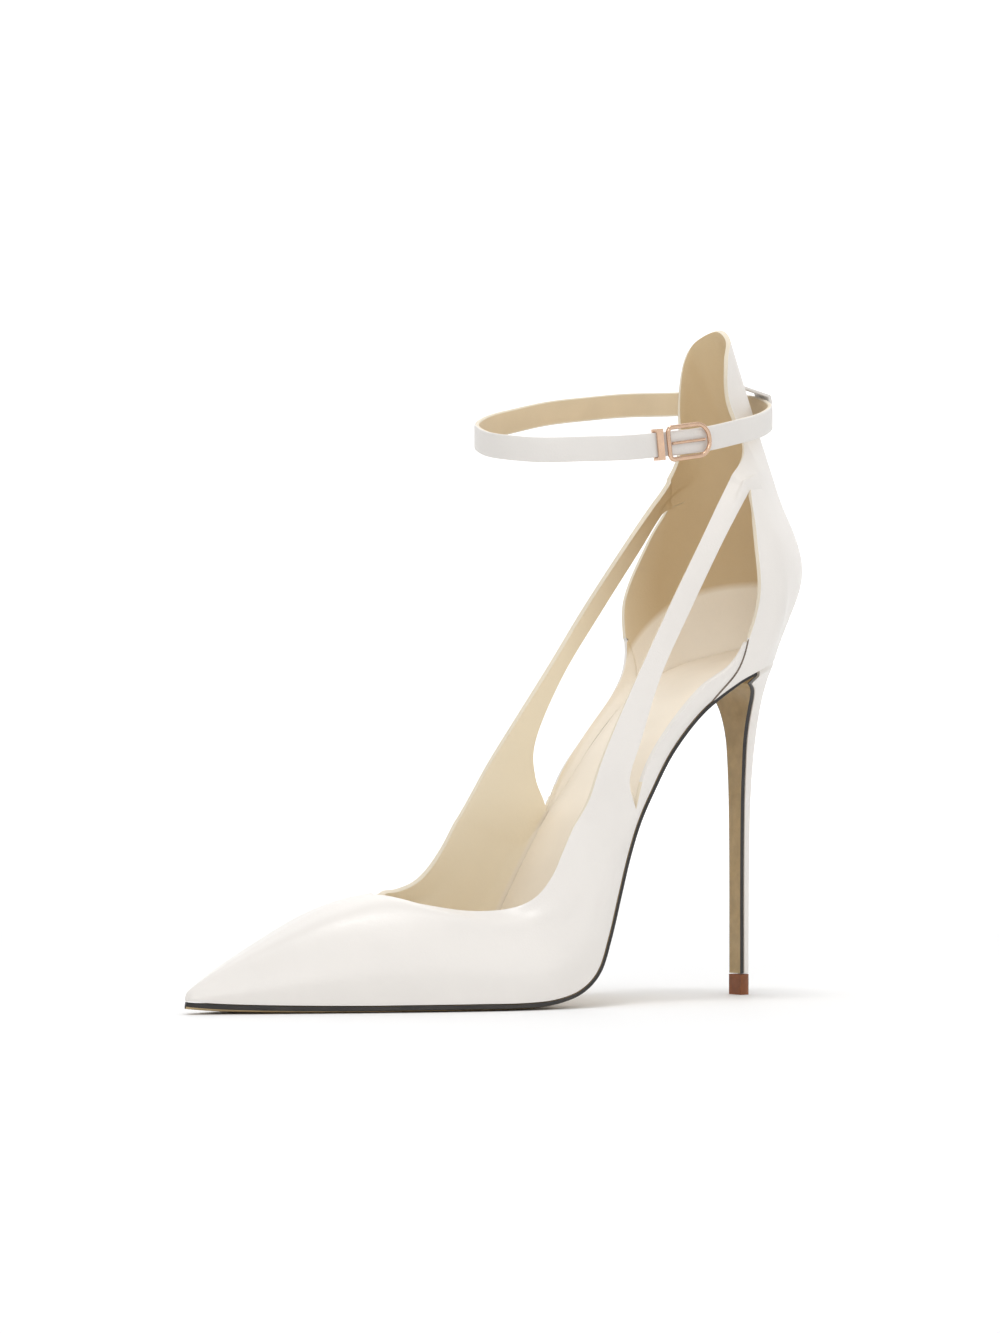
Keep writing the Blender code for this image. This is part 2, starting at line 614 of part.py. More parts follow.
def build_back_loop(shade, home):
    """Leather loop that holds the strap behind the tab."""
    high = STRAP_MIDDLE_UP + BACK_LOOP_HEIGHT / 2
    low = STRAP_MIDDLE_UP - STRAP_WIDTH / 2 - SEAM_GAP - BACK_LOOP_THICKNESS
    wall = BACK_LOOP_THICKNESS
    far = STRAP_BACK + STRAP_THICKNESS + SEAM_GAP
    strap_top = STRAP_MIDDLE_UP + STRAP_WIDTH / 2 + SEAM_GAP
    inner = [(tab_back(high) + SEAM_GAP, high), (far - 0.3 * wall, strap_top + 0.4 * wall),
             (far, strap_top - wall), (far, low + wall), (tab_back(low) + SEAM_GAP, low + wall)]
    outer = [(tab_back(high + wall) + SEAM_GAP, high + wall), (far + 0.6 * wall, strap_top + wall),
             (far + wall, strap_top - 0.8 * wall), (far + wall, low), (tab_back(low) + SEAM_GAP, low)]
    outline = inner + list(reversed(outer))
    rings = []
    for aside in (-BACK_LOOP_WIDTH / 2, BACK_LOOP_WIDTH / 2):
        slant = STRAP_SIDE_DROP * aside / STRAP_HALF_WIDTH
        rings.append([placed(back, aside, up + slant) for back, up in outline])
    return add_mesh("back_loop", loft(rings), shade, home)


def main():
    """Build the shoe."""
    for old in list(bpy.data.objects):
        bpy.data.objects.remove(old, do_unlink=True)
    home = collection("ankle_strap_pump")
    white = material("white_leather", (0.86, 0.83, 0.78), 0.42)
    cream = material("cream_footbed", (0.80, 0.70, 0.55), 0.6)
    tan = material("tan_sole_leather", (0.50, 0.38, 0.22), 0.55)
    lift = material("brown_top_lift", (0.36, 0.16, 0.04), 0.5)
    gold = material("pale_gold", (0.90, 0.68, 0.52), 0.22, 1.0)
    build_upper(white, home)
    build_outsole(tan, home)
    build_insole(cream, home)
    build_heel(white, home)
    build_top_lift(lift, home)
    build_strap(white, home)
    build_back_loop(white, home)
    build_buckle(gold, home)
    build_keeper(gold, home)


main()
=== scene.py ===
"""Looks of the ankle strap pump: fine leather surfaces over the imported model, light and camera.

The shoe's own shape is worked out again here, from the same sizes and sections as the model,
on a finer grid. "back" runs from the toe tip to the heel, "out" from the middle line to a side.
"""

import math
from collections import namedtuple

import bmesh
import bpy
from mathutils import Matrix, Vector


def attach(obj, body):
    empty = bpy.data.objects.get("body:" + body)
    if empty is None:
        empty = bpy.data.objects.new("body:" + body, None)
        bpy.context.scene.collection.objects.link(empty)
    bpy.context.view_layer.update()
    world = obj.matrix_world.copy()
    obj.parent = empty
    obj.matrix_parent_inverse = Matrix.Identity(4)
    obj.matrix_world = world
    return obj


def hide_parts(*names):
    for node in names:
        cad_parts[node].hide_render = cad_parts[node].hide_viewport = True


MILLIMETRE = 0.001
# Turn, in radians, over which a direction along the strap is read
SMALL_TURN = 0.01

# Driving sizes of the last
SHOE_LENGTH = 0.220
BALL_WIDTH = 0.075
HEEL_HEIGHT = 0.106
INSTEP_HEIGHT = 0.0346
TAB_RISE = 0.1023
TOE_SWING = 0.0015

# Leather, sole and footbed
UPPER_WALL = 0.0015
OUTSOLE_THICKNESS = 0.0020
SOLE_EDGE_BEVEL = 0.0009
BREAST_FLAP_THICKNESS = 0.0012
FOOTBED_THICKNESS = 0.0020
SEAM_GAP = 0.0003

# Heel
SHAFT_WIDTH = 0.0062
SHAFT_DEPTH = 0.0029
BREAST_SHARE = 0.91
ROUNDNESS = 2.25
TOP_LIFT_HEIGHT = 0.0064

# Ankle strap
STRAP_WIDTH = 0.0076
STRAP_THICKNESS = 0.0015
STRAP_LENGTH = 0.1012
STRAP_CLEARANCE_BEHIND_TAB = 0.0058
STRAP_HALF_WIDTH = 0.0285
STRAP_LEVEL = 0.0778
STRAP_SIDE_DROP = 0.0059
STRAP_BACK_RISE = 0.0063

# Buckle and back loop
BUCKLE_LENGTH = 0.0168
BUCKLE_HEIGHT = 0.0112
BUCKLE_WIRE = 0.0014
BUCKLE_CORNER = 0.0015
BUCKLE_ROUND_END = 0.92
BUCKLE_PLACE = math.radians(-87.0)
PRONG_WIRE = 0.0009
BACK_LOOP_WIDTH = 0.0080
BACK_LOOP_THICKNESS = 0.0012
BACK_LOOP_HEIGHT = 0.0140

# How finely the surfaces are divided
STEPS_PER_SECTION = 12
LOW_ROWS = 20
HIGH_ROWS = 14
STRAP_STEPS = 360
HEEL_RING_STEPS = 64
HEEL_STEPS_PER_ROW = 6
SOLE_STEPS = 240
STRAP_CORNER_POINTS = 5
WIRE_SIDES = 16
BUCKLE_CORNER_POINTS = 12
PRONG_STEPS = 24
BACK_LOOP_STEPS = 12
BACKDROP_STEPS = 12

HALF_BALL = BALL_WIDTH / 2
BREAST_PLACE = BREAST_SHARE * SHOE_LENGTH
ORIGIN_BACK = BREAST_PLACE + (SHAFT_DEPTH - BREAST_FLAP_THICKNESS) / 2

# Sole edge, section by section from the toe tip to the back of the heel seat.
# back: share of the shoe's length; out: share of half the ball width; up: share of the heel height
Feather = namedtuple("Feather", "back out up")
FEATHER = [Feather(*row) for row in (
    (0.000, 0.000, 0.017), (0.009, 0.070, 0.014), (0.045, 0.168, 0.008), (0.114, 0.360, 0.003),
    (0.205, 0.587, 0.000), (0.286, 0.773, 0.000), (0.364, 0.920, 0.000), (0.432, 0.995, 0.000),
    (0.486, 1.000, 0.008), (0.532, 0.976, 0.036), (0.568, 0.933, 0.094), (0.595, 0.859, 0.190),
    (0.620, 0.787, 0.311), (0.643, 0.720, 0.420), (0.666, 0.667, 0.514), (0.693, 0.621, 0.600),
    (0.732, 0.587, 0.717), (0.782, 0.589, 0.828), (0.836, 0.608, 0.904), (0.880, 0.587, 0.944),
    (0.898, 0.547, 0.957), (0.913, 0.485, 0.968), (0.930, 0.373, 0.981), (0.942, 0.248, 0.990),
    (0.949, 0.149, 0.995), (0.952, 0.075, 0.998), (0.953, 0.000, 0.999),
)]
# How far to either side the slope of a curve is read, in sections
SLOPE_REACH = 0.05
# From this section back the heel seat is one flat slope
SEAT = 19
# Sections where the outsole and the footbed begin, and how far before the last one the footbed ends
SOLE_START = 0.12
FOOTBED_START = 1.5
FOOTBED_END_GAP = 0.6
# Share of the sole's thickness left free before the heel's front edge
SEAT_FREE = 0.7
# How close to its edge the sole's underside begins to round off, a power of the width's share
EDGE_SHARPNESS = 12
# Places across the sole and the footbed, shares of the half width, closer near the edge
SOLE_SHARES = (-1, -0.97, -0.94, -0.9, -0.75, -0.5, -0.25, 0, 0.25, 0.5, 0.75, 0.9, 0.94, 0.97, 1)
# Half width that the sole keeps at its tip
SOLE_TIP = 0.0004

# Edges above the sole edge, one row for each section of the same shoe.
# back and out as above; instep and tab: rise over the sole edge, shares of INSTEP_HEIGHT and
# TAB_RISE; ahead and higher: how far the inner side's edge runs ahead of the outer side's, share
# of the shoe's length, and how much higher it lies, share of INSTEP_HEIGHT
Edge = namedtuple("Edge", "back out instep tab ahead higher")
TOPLINE = [Edge(*row) for row in (
    (0.005, 0.000, 0.145, 0, 0, 0), (0.016, 0.000, 0.202, 0, 0, 0),
    (0.055, 0.000, 0.367, 0, 0, 0), (0.123, 0.000, 0.604, 0, 0, 0),
    (0.209, 0.000, 0.867, 0, 0, 0), (0.289, 0.000, 1.000, 0, 0, 0),
    (0.345, 0.373, 0.902, 0, 0.004, 0.070), (0.393, 0.573, 0.853, 0, 0.020, 0.140),
    (0.443, 0.693, 0.850, 0, 0.037, 0.125), (0.477, 0.747, 0.855, 0, 0.038, 0.090),
    (0.504, 0.752, 0.853, 0, 0.041, 0.030), (0.524, 0.741, 0.780, 0, 0.038, 0),
    (0.543, 0.720, 0.607, 0, 0.040, 0), (0.559, 0.699, 0.390, 0, 0.045, 0),
    (0.577, 0.675, 0.200, 0.020, 0.049, 0), (0.599, 0.635, 0.100, 0.061, 0.046, 0),
    (0.630, 0.587, 0, 0.088, 0.043, 0), (0.679, 0.539, 0, 0.149, 0.036, 0),
    (0.728, 0.533, 0, 0.256, 0.023, 0), (0.783, 0.520, 0, 0.414, 0.007, 0),
    (0.810, 0.501, 0, 0.496, 0, 0), (0.839, 0.459, 0, 0.572, 0, 0),
    (0.870, 0.400, 0, 0.652, 0.017, 0), (0.848, 0.358, 0, 0.792, 0, 0),
    (0.851, 0.315, 0, 0.905, 0, 0), (0.863, 0.245, 0, 0.968, 0, 0),
    (0.873, 0.000, 0, 1.000, 0, 0),
)]
# Line half way up the wall; along the cut-out it is the cut-out's lower and rear edge
WAIST_LINE = [Edge(*row) for row in (
    (0.001, 0.000, 0.098, 0, 0, 0), (0.012, 0.061, 0.121, 0, 0, 0),
    (0.049, 0.141, 0.228, 0, 0, 0), (0.118, 0.293, 0.402, 0, 0, 0),
    (0.207, 0.480, 0.578, 0, 0, 0), (0.288, 0.635, 0.673, 0, 0, 0),
    (0.359, 0.773, 0.645, 0, 0.002, 0.030), (0.420, 0.867, 0.607, 0, 0.010, 0.060),
    (0.470, 0.907, 0.624, 0, 0.018, 0.060), (0.511, 0.907, 0.645, 0, 0.022, 0.030),
    (0.543, 0.880, 0.621, 0, 0.020, 0), (0.570, 0.832, 0.549, 0, 0.014, 0),
    (0.598, 0.779, 0.390, 0, 0.008, 0), (0.625, 0.725, 0.223, 0, 0, -0.040),
    (0.653, 0.675, 0.100, 0.013, 0, -0.045), (0.673, 0.661, 0.030, 0.070, -0.005, -0.050),
    (0.709, 0.667, 0, 0.073, -0.012, -0.050), (0.764, 0.683, 0, 0.083, -0.008, -0.040),
    (0.822, 0.720, 0, 0.095, 0.026, 0), (0.850, 0.779, 0, 0.229, 0.048, 0),
    (0.853, 0.720, 0, 0.393, 0.018, 0), (0.857, 0.595, 0, 0.538, 0, -0.130),
    (0.895, 0.496, 0, 0.530, 0, -0.040), (0.925, 0.360, 0, 0.523, 0, 0),
    (0.945, 0.235, 0, 0.518, 0, 0), (0.958, 0.117, 0, 0.515, 0, 0),
    (0.962, 0.000, 0, 0.513, 0, 0),
)]
# The section where the throat opens, and the cut-out's front and upper edge inside its sections
THROAT = 5
CUTOUT_FRONT = 14
CUTOUT_TOP = 21
CUTOUT_EDGE = [Edge(*row) for row in (
    (0.643, 0.672, 0.030, 0.038, 0.010, 0), (0.666, 0.640, 0, 0.044, 0.036, 0),
    (0.705, 0.600, 0, 0.124, 0.034, 0), (0.755, 0.587, 0, 0.237, 0.021, 0),
    (0.807, 0.587, 0, 0.390, 0.005, 0), (0.833, 0.592, 0, 0.469, 0, 0),
)]

# Swell of the wall between those lines, shares of the ball width
Swell = namedtuple("Swell", "low_back low_out high_out high_up")
SWELL = [Swell(*row) for row in (
    (0, 0, 0, 0.004), (0, 0.004, 0.006, 0.006), (0, 0.009, 0.010, 0.016),
    (0, 0.020, 0.014, 0.026), (0, 0.032, 0.022, 0.036), (0, 0.039, 0.028, 0.041),
    (0, 0.040, 0.027, 0.026), (0, 0.037, 0.020, 0.016), (0, 0.032, 0.014, 0.010),
    (0, 0.027, 0.010, 0.006), (0, 0.021, 0.008, 0.004), (0, 0.013, 0.006, 0.002),
    (0, 0.008, 0.005, 0), (0, 0.005, 0.004, 0), (0, 0.004, 0.003, 0), (0, 0.005, 0.002, 0),
    (0, 0.008, 0.002, 0), (0, 0.010, 0.002, 0), (0.003, 0.012, 0.002, 0),
    (0.020, 0.038, 0.002, 0), (0.059, 0.067, 0.002, 0), (0.083, 0.081, 0, 0),
    (0.103, 0.060, 0, 0), (0.113, 0.048, 0, 0), (0.120, 0.027, 0, 0), (0.115, 0.010, 0, 0),
    (0.112, 0, 0, 0),
)]

# Heel, from its foot to its seat. up: share of the heel height; front and back: offsets from
# the breast and from the shaft's back, shares of the shaft's width; half: share of the same
# width; tilt: how much higher the back of the section lies, share of its height
HeelRow = namedtuple("HeelRow", "up front back half tilt")
HEEL_ROWS = [HeelRow(*row) for row in (
    (0.150, 0.00, 0.00, 0.50, 0.000), (0.300, 0.00, 0.03, 0.50, 0.000),
    (0.450, 0.00, 0.06, 0.52, 0.000), (0.580, 0.00, 0.12, 0.57, 0.000),
    (0.680, 0.00, 0.23, 0.67, 0.002), (0.750, -0.01, 0.36, 0.79, 0.006),
    (0.805, -0.04, 0.46, 1.02, 0.014), (0.850, -0.10, 0.54, 1.34, 0.026),
    (0.882, -0.24, 0.62, 1.72, 0.038), (0.906, -0.56, 0.68, 2.20, 0.052),
    (0.922, -1.12, 0.76, 2.75, 0.060),
)]


def across(start, end, share):
    """Point between two vectors."""
    return start + (end - start) * share


def spline(points, place, first=0, last=None, mirrored=False):
    """Smooth curve through the points first..last, read at a place counted in points.

    A mirrored curve meets its own mirror image at its last point without a corner.
    """
    last = len(points) - 1 if last is None else last
    index = min(max(int(math.floor(place)), first), last - 1)
    share = place - index
    before = points[index - 1] if index > first else 2 * points[index] - points[index + 1]
    if index + 2 <= last:
        after = points[index + 2]
    elif mirrored:
        after = points[index] * Vector((1, -1, 1))
    else:
        after = 2 * points[index + 1] - points[index]
    here, there = points[index], points[index + 1]
    return (here + (there - before) * (0.5 * share)
            + (2 * before - 5 * here + 4 * there - after) * (0.5 * share ** 2)
            + (3 * here - before - 3 * there + after) * (0.5 * share ** 3))


def swing(back):
    """The toe turns a little to the inner side."""
    ahead = max(0.0, 1 - 2 * back / SHOE_LENGTH)
    return TOE_SWING * ahead ** 2


def placed(back, across_foot, up):
    """Point of the part from its place on the shoe."""
    return Vector((back - ORIGIN_BACK, across_foot + swing(back), up))


FEATHER_POINTS = [Vector((row.back * SHOE_LENGTH, row.out * HALF_BALL, row.up * HEEL_HEIGHT))
                  for row in FEATHER]


def sole_normal(place):
    """Upward normal of the sole's side profile at a section place."""
    place = min(place, SEAT)
    low = spline(FEATHER_POINTS, max(place - SLOPE_REACH, 0))
    high = spline(FEATHER_POINTS, place + SLOPE_REACH)
    run = Vector((high.x - low.x, 0, high.z - low.z)).normalized()
    return Vector((-run.z, 0, run.x))


def sole_point(place, rise):
    """Point of the sole edge, lifted square to the sole by rise."""
    return spline(FEATHER_POINTS, place) + sole_normal(place) * rise


def edge_point(row, section, side):
    """Point of an upper edge over its own section of the sole."""
    inner = 1 if side > 0 else 0
    up = FEATHER_POINTS[section].z + row.tab * TAB_RISE
    up += (row.instep + inner * row.higher) * INSTEP_HEIGHT
    return Vector(((row.back - inner * row.ahead) * SHOE_LENGTH, row.out * HALF_BALL, up))


def rib(side, section):
    """Lower and upper rows of wall points at one section."""
    swell = SWELL[section]
    foot = FEATHER_POINTS[section] + sole_normal(section) * (OUTSOLE_THICKNESS + SEAM_GAP)
    top = edge_point(TOPLINE[section], section, side)
    waist = edge_point(WAIST_LINE[section], section, side)
    edge = waist
    if CUTOUT_FRONT < section < CUTOUT_TOP:
        edge = edge_point(CUTOUT_EDGE[section - CUTOUT_FRONT - 1], section, side)
    low_mid = across(foot, waist, 0.5) + Vector((swell.low_back, swell.low_out, 0)) * BALL_WIDTH
    high_mid = across(edge, top, 0.5) + Vector((0, swell.high_out, swell.high_up)) * BALL_WIDTH
    if edge is waist:
        line = [foot, low_mid, waist, high_mid, top]
        low = [spline(line, 2 * row / LOW_ROWS) for row in range(LOW_ROWS + 1)]
        high = [spline(line, 2 + 2 * row / HIGH_ROWS) for row in range(HIGH_ROWS + 1)]
        return low, high
    low = [spline([foot, low_mid, waist], 2 * row / LOW_ROWS) for row in range(LOW_ROWS + 1)]
    high = [spline([edge, high_mid, top], 2 * row / HIGH_ROWS) for row in range(HIGH_ROWS + 1)]
    return low, high


def inset_edge(place, margin):
    """Place along the sole and half width of the sole edge moved inwards by margin."""
    edge = spline(FEATHER_POINTS, place)
    ahead = spline(FEATHER_POINTS, place + SLOPE_REACH) - spline(FEATHER_POINTS, place - SLOPE_REACH)
    plan = math.hypot(ahead.x, ahead.y)
    return edge.x + margin * ahead.y / plan, edge.y - margin * ahead.x / plan


def heel_profile(row):
    """Front, back, half width and the two heights of one heel section."""
    front = BREAST_PLACE + row.front * SHAFT_WIDTH
    back = BREAST_PLACE + SHAFT_DEPTH + row.back * SHAFT_WIDTH
    return front, back, row.half * SHAFT_WIDTH, row.up * HEEL_HEIGHT, row.tilt * HEEL_HEIGHT


def section_at(back):
    """Section place whose sole edge lies at a length along the shoe."""
    low, high = 0.0, len(FEATHER) - 1.0
    for _ in range(40):
        middle = (low + high) / 2
        if spline(FEATHER_POINTS, middle).x < back:
            low = middle
        else:
            high = middle
    return (low + high) / 2


def tab_back(up):
    """Place of the back middle line of the counter and tab at a height."""
    last = len(FEATHER) - 1
    line = rib(-1, last)[0] + rib(-1, last)[1][1:]
    for here, there in zip(line, line[1:]):
        if here.z <= up <= there.z:
            return here.x + (there.x - here.x) * (up - here.z) / (there.z - here.z)
    return line[-1].x


STRAP_MIDDLE_UP = HEEL_HEIGHT + STRAP_LEVEL
STRAP_BACK = tab_back(STRAP_MIDDLE_UP) + STRAP_CLEARANCE_BEHIND_TAB
STRAP_HALF_LENGTH = STRAP_LENGTH / 2
STRAP_CENTRE = STRAP_BACK - STRAP_HALF_LENGTH


def strap_point(turn, outward, up):
    """Point on the strap's ring: turn 0 is the back, negative turns are the outer side."""
    base_back = STRAP_CENTRE + STRAP_HALF_LENGTH * math.cos(turn)
    base_side = STRAP_HALF_WIDTH * math.sin(turn)
    normal = Vector((math.cos(turn) / STRAP_HALF_LENGTH, math.sin(turn) / STRAP_HALF_WIDTH, 0))
    normal.normalize()
    level = STRAP_MIDDLE_UP + STRAP_SIDE_DROP * math.sin(turn)
    level -= STRAP_BACK_RISE * (1 - math.cos(turn))
    return placed(base_back + normal.x * outward, base_side + normal.y * outward, level + up)


def strap_frame(turn):
    """Place, forward direction and outward direction of the strap at a turn."""
    here = strap_point(turn, 0, 0)
    ahead = (strap_point(turn - SMALL_TURN, 0, 0) - here).normalized()
    out = (strap_point(turn, MILLIMETRE, 0) - here).normalized()
    return here, ahead, out


# The counter's leather: how far it stands out, the section where it begins at the sole, over how
# many sections its edge rises, and by how many sections that edge leans back on its way up
COUNTER_STEP = 0.00045
COUNTER_START = 17 + 4 / STEPS_PER_SECTION
COUNTER_FADE = 0.055
COUNTER_LEAN = 1.05
# Reach of the painted seam shadow ahead of the counter, in widths of its edge, and where the folded white
# edge begins behind the cut-out's front, in sections
SEAM_SHADOW_REACH = 1.5
FOLD_START = 0.5
# Ahead of the throat no relief is nearer than this to the middle line, where the two halves meet
MIDDLE_CLEAR = 0.0005
# Distances at which points of the wall count as one, and edges as having no length
WALL_MERGE = 0.00004
WALL_DEGENERATE = 0.00001
# Share to which the heel's top is drawn in under the counter
SEAT_TUCK = 0.95
# How much thinner the sole is cut under the heel seat
SOLE_SKIVE = 0.0011
# Creases slant by this share of the wall's height over their reach, and fade by this power
CREASE_SLANT = 0.05
CREASE_FADE = 2
BOTH_SIDES = 0
# place: section; rise: share of the wall's height; long and wide: reach in sections and in that
# share; depth: mm, troughs are negative; side: -1 outer, 1 inner, 0 both
Crease = namedtuple("Crease", "place rise long wide depth side")
CREASES = [Crease(*row) for row in (
    (8.2, 0.86, 1.6, 0.10, -0.22, -1), (8.6, 0.70, 1.4, 0.08, 0.16, -1),
    (9.4, 0.52, 1.2, 0.07, -0.18, -1), (10.6, 0.30, 0.8, 0.10, -0.20, -1),
    (11.6, 0.45, 0.7, 0.08, 0.14, -1), (8.0, 0.84, 1.5, 0.10, -0.20, 1),
    (9.2, 0.60, 1.3, 0.08, -0.18, 1), (11.0, 0.35, 0.8, 0.10, -0.18, 1),
    (5.8, 0.80, 0.9, 0.06, -0.12, 0), (23.6, 0.42, 1.6, 0.05, -0.15, 0),
    (22.2, 0.12, 1.2, 0.05, -0.14, 0), (20.2, 0.30, 0.7, 0.10, -0.16, 0),
)]

# Line on the lining where the paler heel sock begins: height at the frame's origin, slope and
# bend along X, and half the width of the change of tone
SOCK_LINE = 0.126
SOCK_SLOPE = 0.397
SOCK_CURVE = -13.4
SOCK_BLUR = 0.0012
# Where the lining's painted shade begins and ends to deepen, along X
PAINTED_SHADE_FRONT = -0.055
PAINTED_SHADE_BACK = -0.012

# Footbed: how far it keeps inside the sole's edge, share of the wall; how far its edge lies
# lower, which share of that the middle keeps, and the power by which it rounds off
FOOTBED_TUCK = 0.9
FOOTBED_EDGE_DROP = 0.0006
FOOTBED_MIDDLE_SHARE = 0.8
FOOTBED_ROUNDING = 10
# Heel pad on the footbed: where it begins, share of the shoe's length; the curve of its front, its
# rise and half the length of its edge
PAD_SHARE = 0.80
PAD_CURVE = 0.010
PAD_RISE = 0.0004
PAD_EDGE = 0.0005

# Strap: rounding of its cut edges, share of its thickness, and the waves of its leather
STRAP_ROUNDING = 0.3
Wave = namedtuple("Wave", "height count shift")
STRAP_WAVES = [Wave(0.00012, 5, 0), Wave(0.00008, 11, 1)]
# Back loop, where it folds over the strap's top: its inner face lies this far in and up, its outer
# face this far out and down, shares of its thickness
FOLD_IN = 0.3
FOLD_UP = 0.4
FOLD_OUT = 0.6
FOLD_DOWN = 0.8
# Corners of the buckle, from the square end to the round one: which end and which edge, the angle
# where the corner starts, and its radius
Corner = namedtuple("Corner", "end edge start radius")
BUCKLE_HALF_LENGTH = BUCKLE_LENGTH / 2 - BUCKLE_WIRE / 2
BUCKLE_HALF_HEIGHT = BUCKLE_HEIGHT / 2 - BUCKLE_WIRE / 2
BUCKLE_ROUND = BUCKLE_ROUND_END * BUCKLE_HALF_HEIGHT
BUCKLE_CORNERS = [Corner(1, -1, -90, BUCKLE_CORNER), Corner(1, 1, 0, BUCKLE_CORNER),
                  Corner(-1, 1, 90, BUCKLE_ROUND), Corner(-1, -1, 180, BUCKLE_ROUND)]
# A wire whose first run is steeper than this starts its rings from a level direction
STEEP_RUN = 0.8
LEVEL_DIRECTION = Vector((1, 0.4, 0))

# Colours, as linear light
WHITE = (0.82, 0.785, 0.745)
EDGE_CREAM = (0.80, 0.72, 0.58)
LINING = (0.91, 0.82, 0.645)
# Painted shade: darker lining towards the counter and tab at the back
LINING_PAINTED_SHADE = (0.64, 0.49, 0.29)
STRAP_LINING = (0.70, 0.56, 0.37)
HEEL_LINING = (0.92, 0.84, 0.715)
FOOTBED = (0.90, 0.82, 0.70)
SOLE_TAN = (0.43, 0.31, 0.155)
EDGE_BLACK = (0.012, 0.010, 0.009)
LIFT_BROWN = (0.22, 0.065, 0.015)
GOLD = (0.74, 0.51, 0.365)
# Painted shade: a darker copy of the white leather for the strap and back loop
SHADED_STRAP_WHITE = (0.765, 0.735, 0.70)
# Painted shadow in the gap ahead of the counter's overlapping edge
SEAM_SHADOW = (0.10, 0.075, 0.055)


def smooth(low, high, value):
    """Smooth step from 0 to 1."""
    share = min(max((value - low) / (high - low), 0.0), 1.0)
    return share * share * (3 - 2 * share)


def column_places():
    """Section places of the wall's columns, with one narrow column where the counter begins."""
    last = len(FEATHER) - 1
    places = [step / STEPS_PER_SECTION for step in range(last * STEPS_PER_SECTION + 1)]
    return sorted(places + [COUNTER_START - COUNTER_FADE])


def leaning(place, rise):
    """Place read so that the counter's front edge leans back on its way up."""
    reach = COUNTER_START - CUTOUT_FRONT if place < COUNTER_START else CUTOUT_TOP - COUNTER_START
    near = 1 - min(abs(place - COUNTER_START) / reach, 1)
    return place + COUNTER_LEAN * rise * smooth(0, 1, near)


def wall_columns(side):
    """Columns of wall points, each with its section place, with the cut-out left open."""
    ribs = [rib(side, section) for section in range(len(FEATHER))]
    last = len(FEATHER) - 1
    low_rows = list(zip(*[r[0] for r in ribs]))
    high_rows = list(zip(*[r[1] for r in ribs]))
    columns = []
    for place in column_places():
        low = [sole_point(place, OUTSOLE_THICKNESS + SEAM_GAP)]
        for row in range(1, LOW_ROWS):
            low.append(spline(low_rows[row], leaning(place, row / LOW_ROWS), mirrored=True))
        high = [spline(high_rows[row], place, mirrored=True) for row in range(1, HIGH_ROWS)]
        open_span = (0, THROAT) if place <= THROAT else (THROAT, last)
        high.append(spline(high_rows[-1], place, *open_span, mirrored=place > THROAT))
        if CUTOUT_FRONT < place < CUTOUT_TOP:
            span = (CUTOUT_FRONT, CUTOUT_TOP)
            lower = spline(low_rows[-1], leaning(place, 1), *span)
            upper = spline(high_rows[0], place, *span)
        elif place <= CUTOUT_FRONT:
            lower = upper = spline(low_rows[-1], place, 0, CUTOUT_FRONT)
        else:
            lower = upper = spline(low_rows[-1], place, CUTOUT_TOP, last, mirrored=True)
        columns.append((place, low + [lower], [upper] + high))
    return columns


def relief(place, rise, band, side):
    """How far the leather stands out at a place: the counter's step and the soft creases."""
    out = 0.0
    if band == 0:
        out += COUNTER_STEP * smooth(COUNTER_START - COUNTER_FADE, COUNTER_START, place)
    elif place > CUTOUT_TOP:
        out += COUNTER_STEP
    for crease in CREASES:
        if crease.side in (BOTH_SIDES, side):
            along = (place - crease.place) / crease.long
            aside = (rise - crease.rise - CREASE_SLANT * along) / crease.wide
            out += crease.depth * MILLIMETRE * math.exp(-CREASE_FADE * (along ** 2 + aside ** 2))
    return out


def new_object(name, made, materials, home, sharp=40.0):
    """Object from a bmesh."""
    mesh = bpy.data.meshes.new(name)
    made.to_mesh(mesh)
    made.free()
    for shade in materials:
        mesh.materials.append(shade)
    mesh.shade_smooth()
    mesh.set_sharp_from_angle(angle=math.radians(sharp))
    piece = bpy.data.objects.new(name, mesh)
    home.objects.link(piece)
    return piece


def dress(piece, node):
    """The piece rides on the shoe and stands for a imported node."""
    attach(piece, "root")
    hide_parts(node)


# One layer of bump: its height, how strongly it shows, and its depth in metres
Layer = namedtuple("Layer", "height strength distance")
# A mix node's inputs for its factor and two colours, and its output for a colour
MIX_INPUTS = (0, 6, 7)
MIX_RESULT = 2


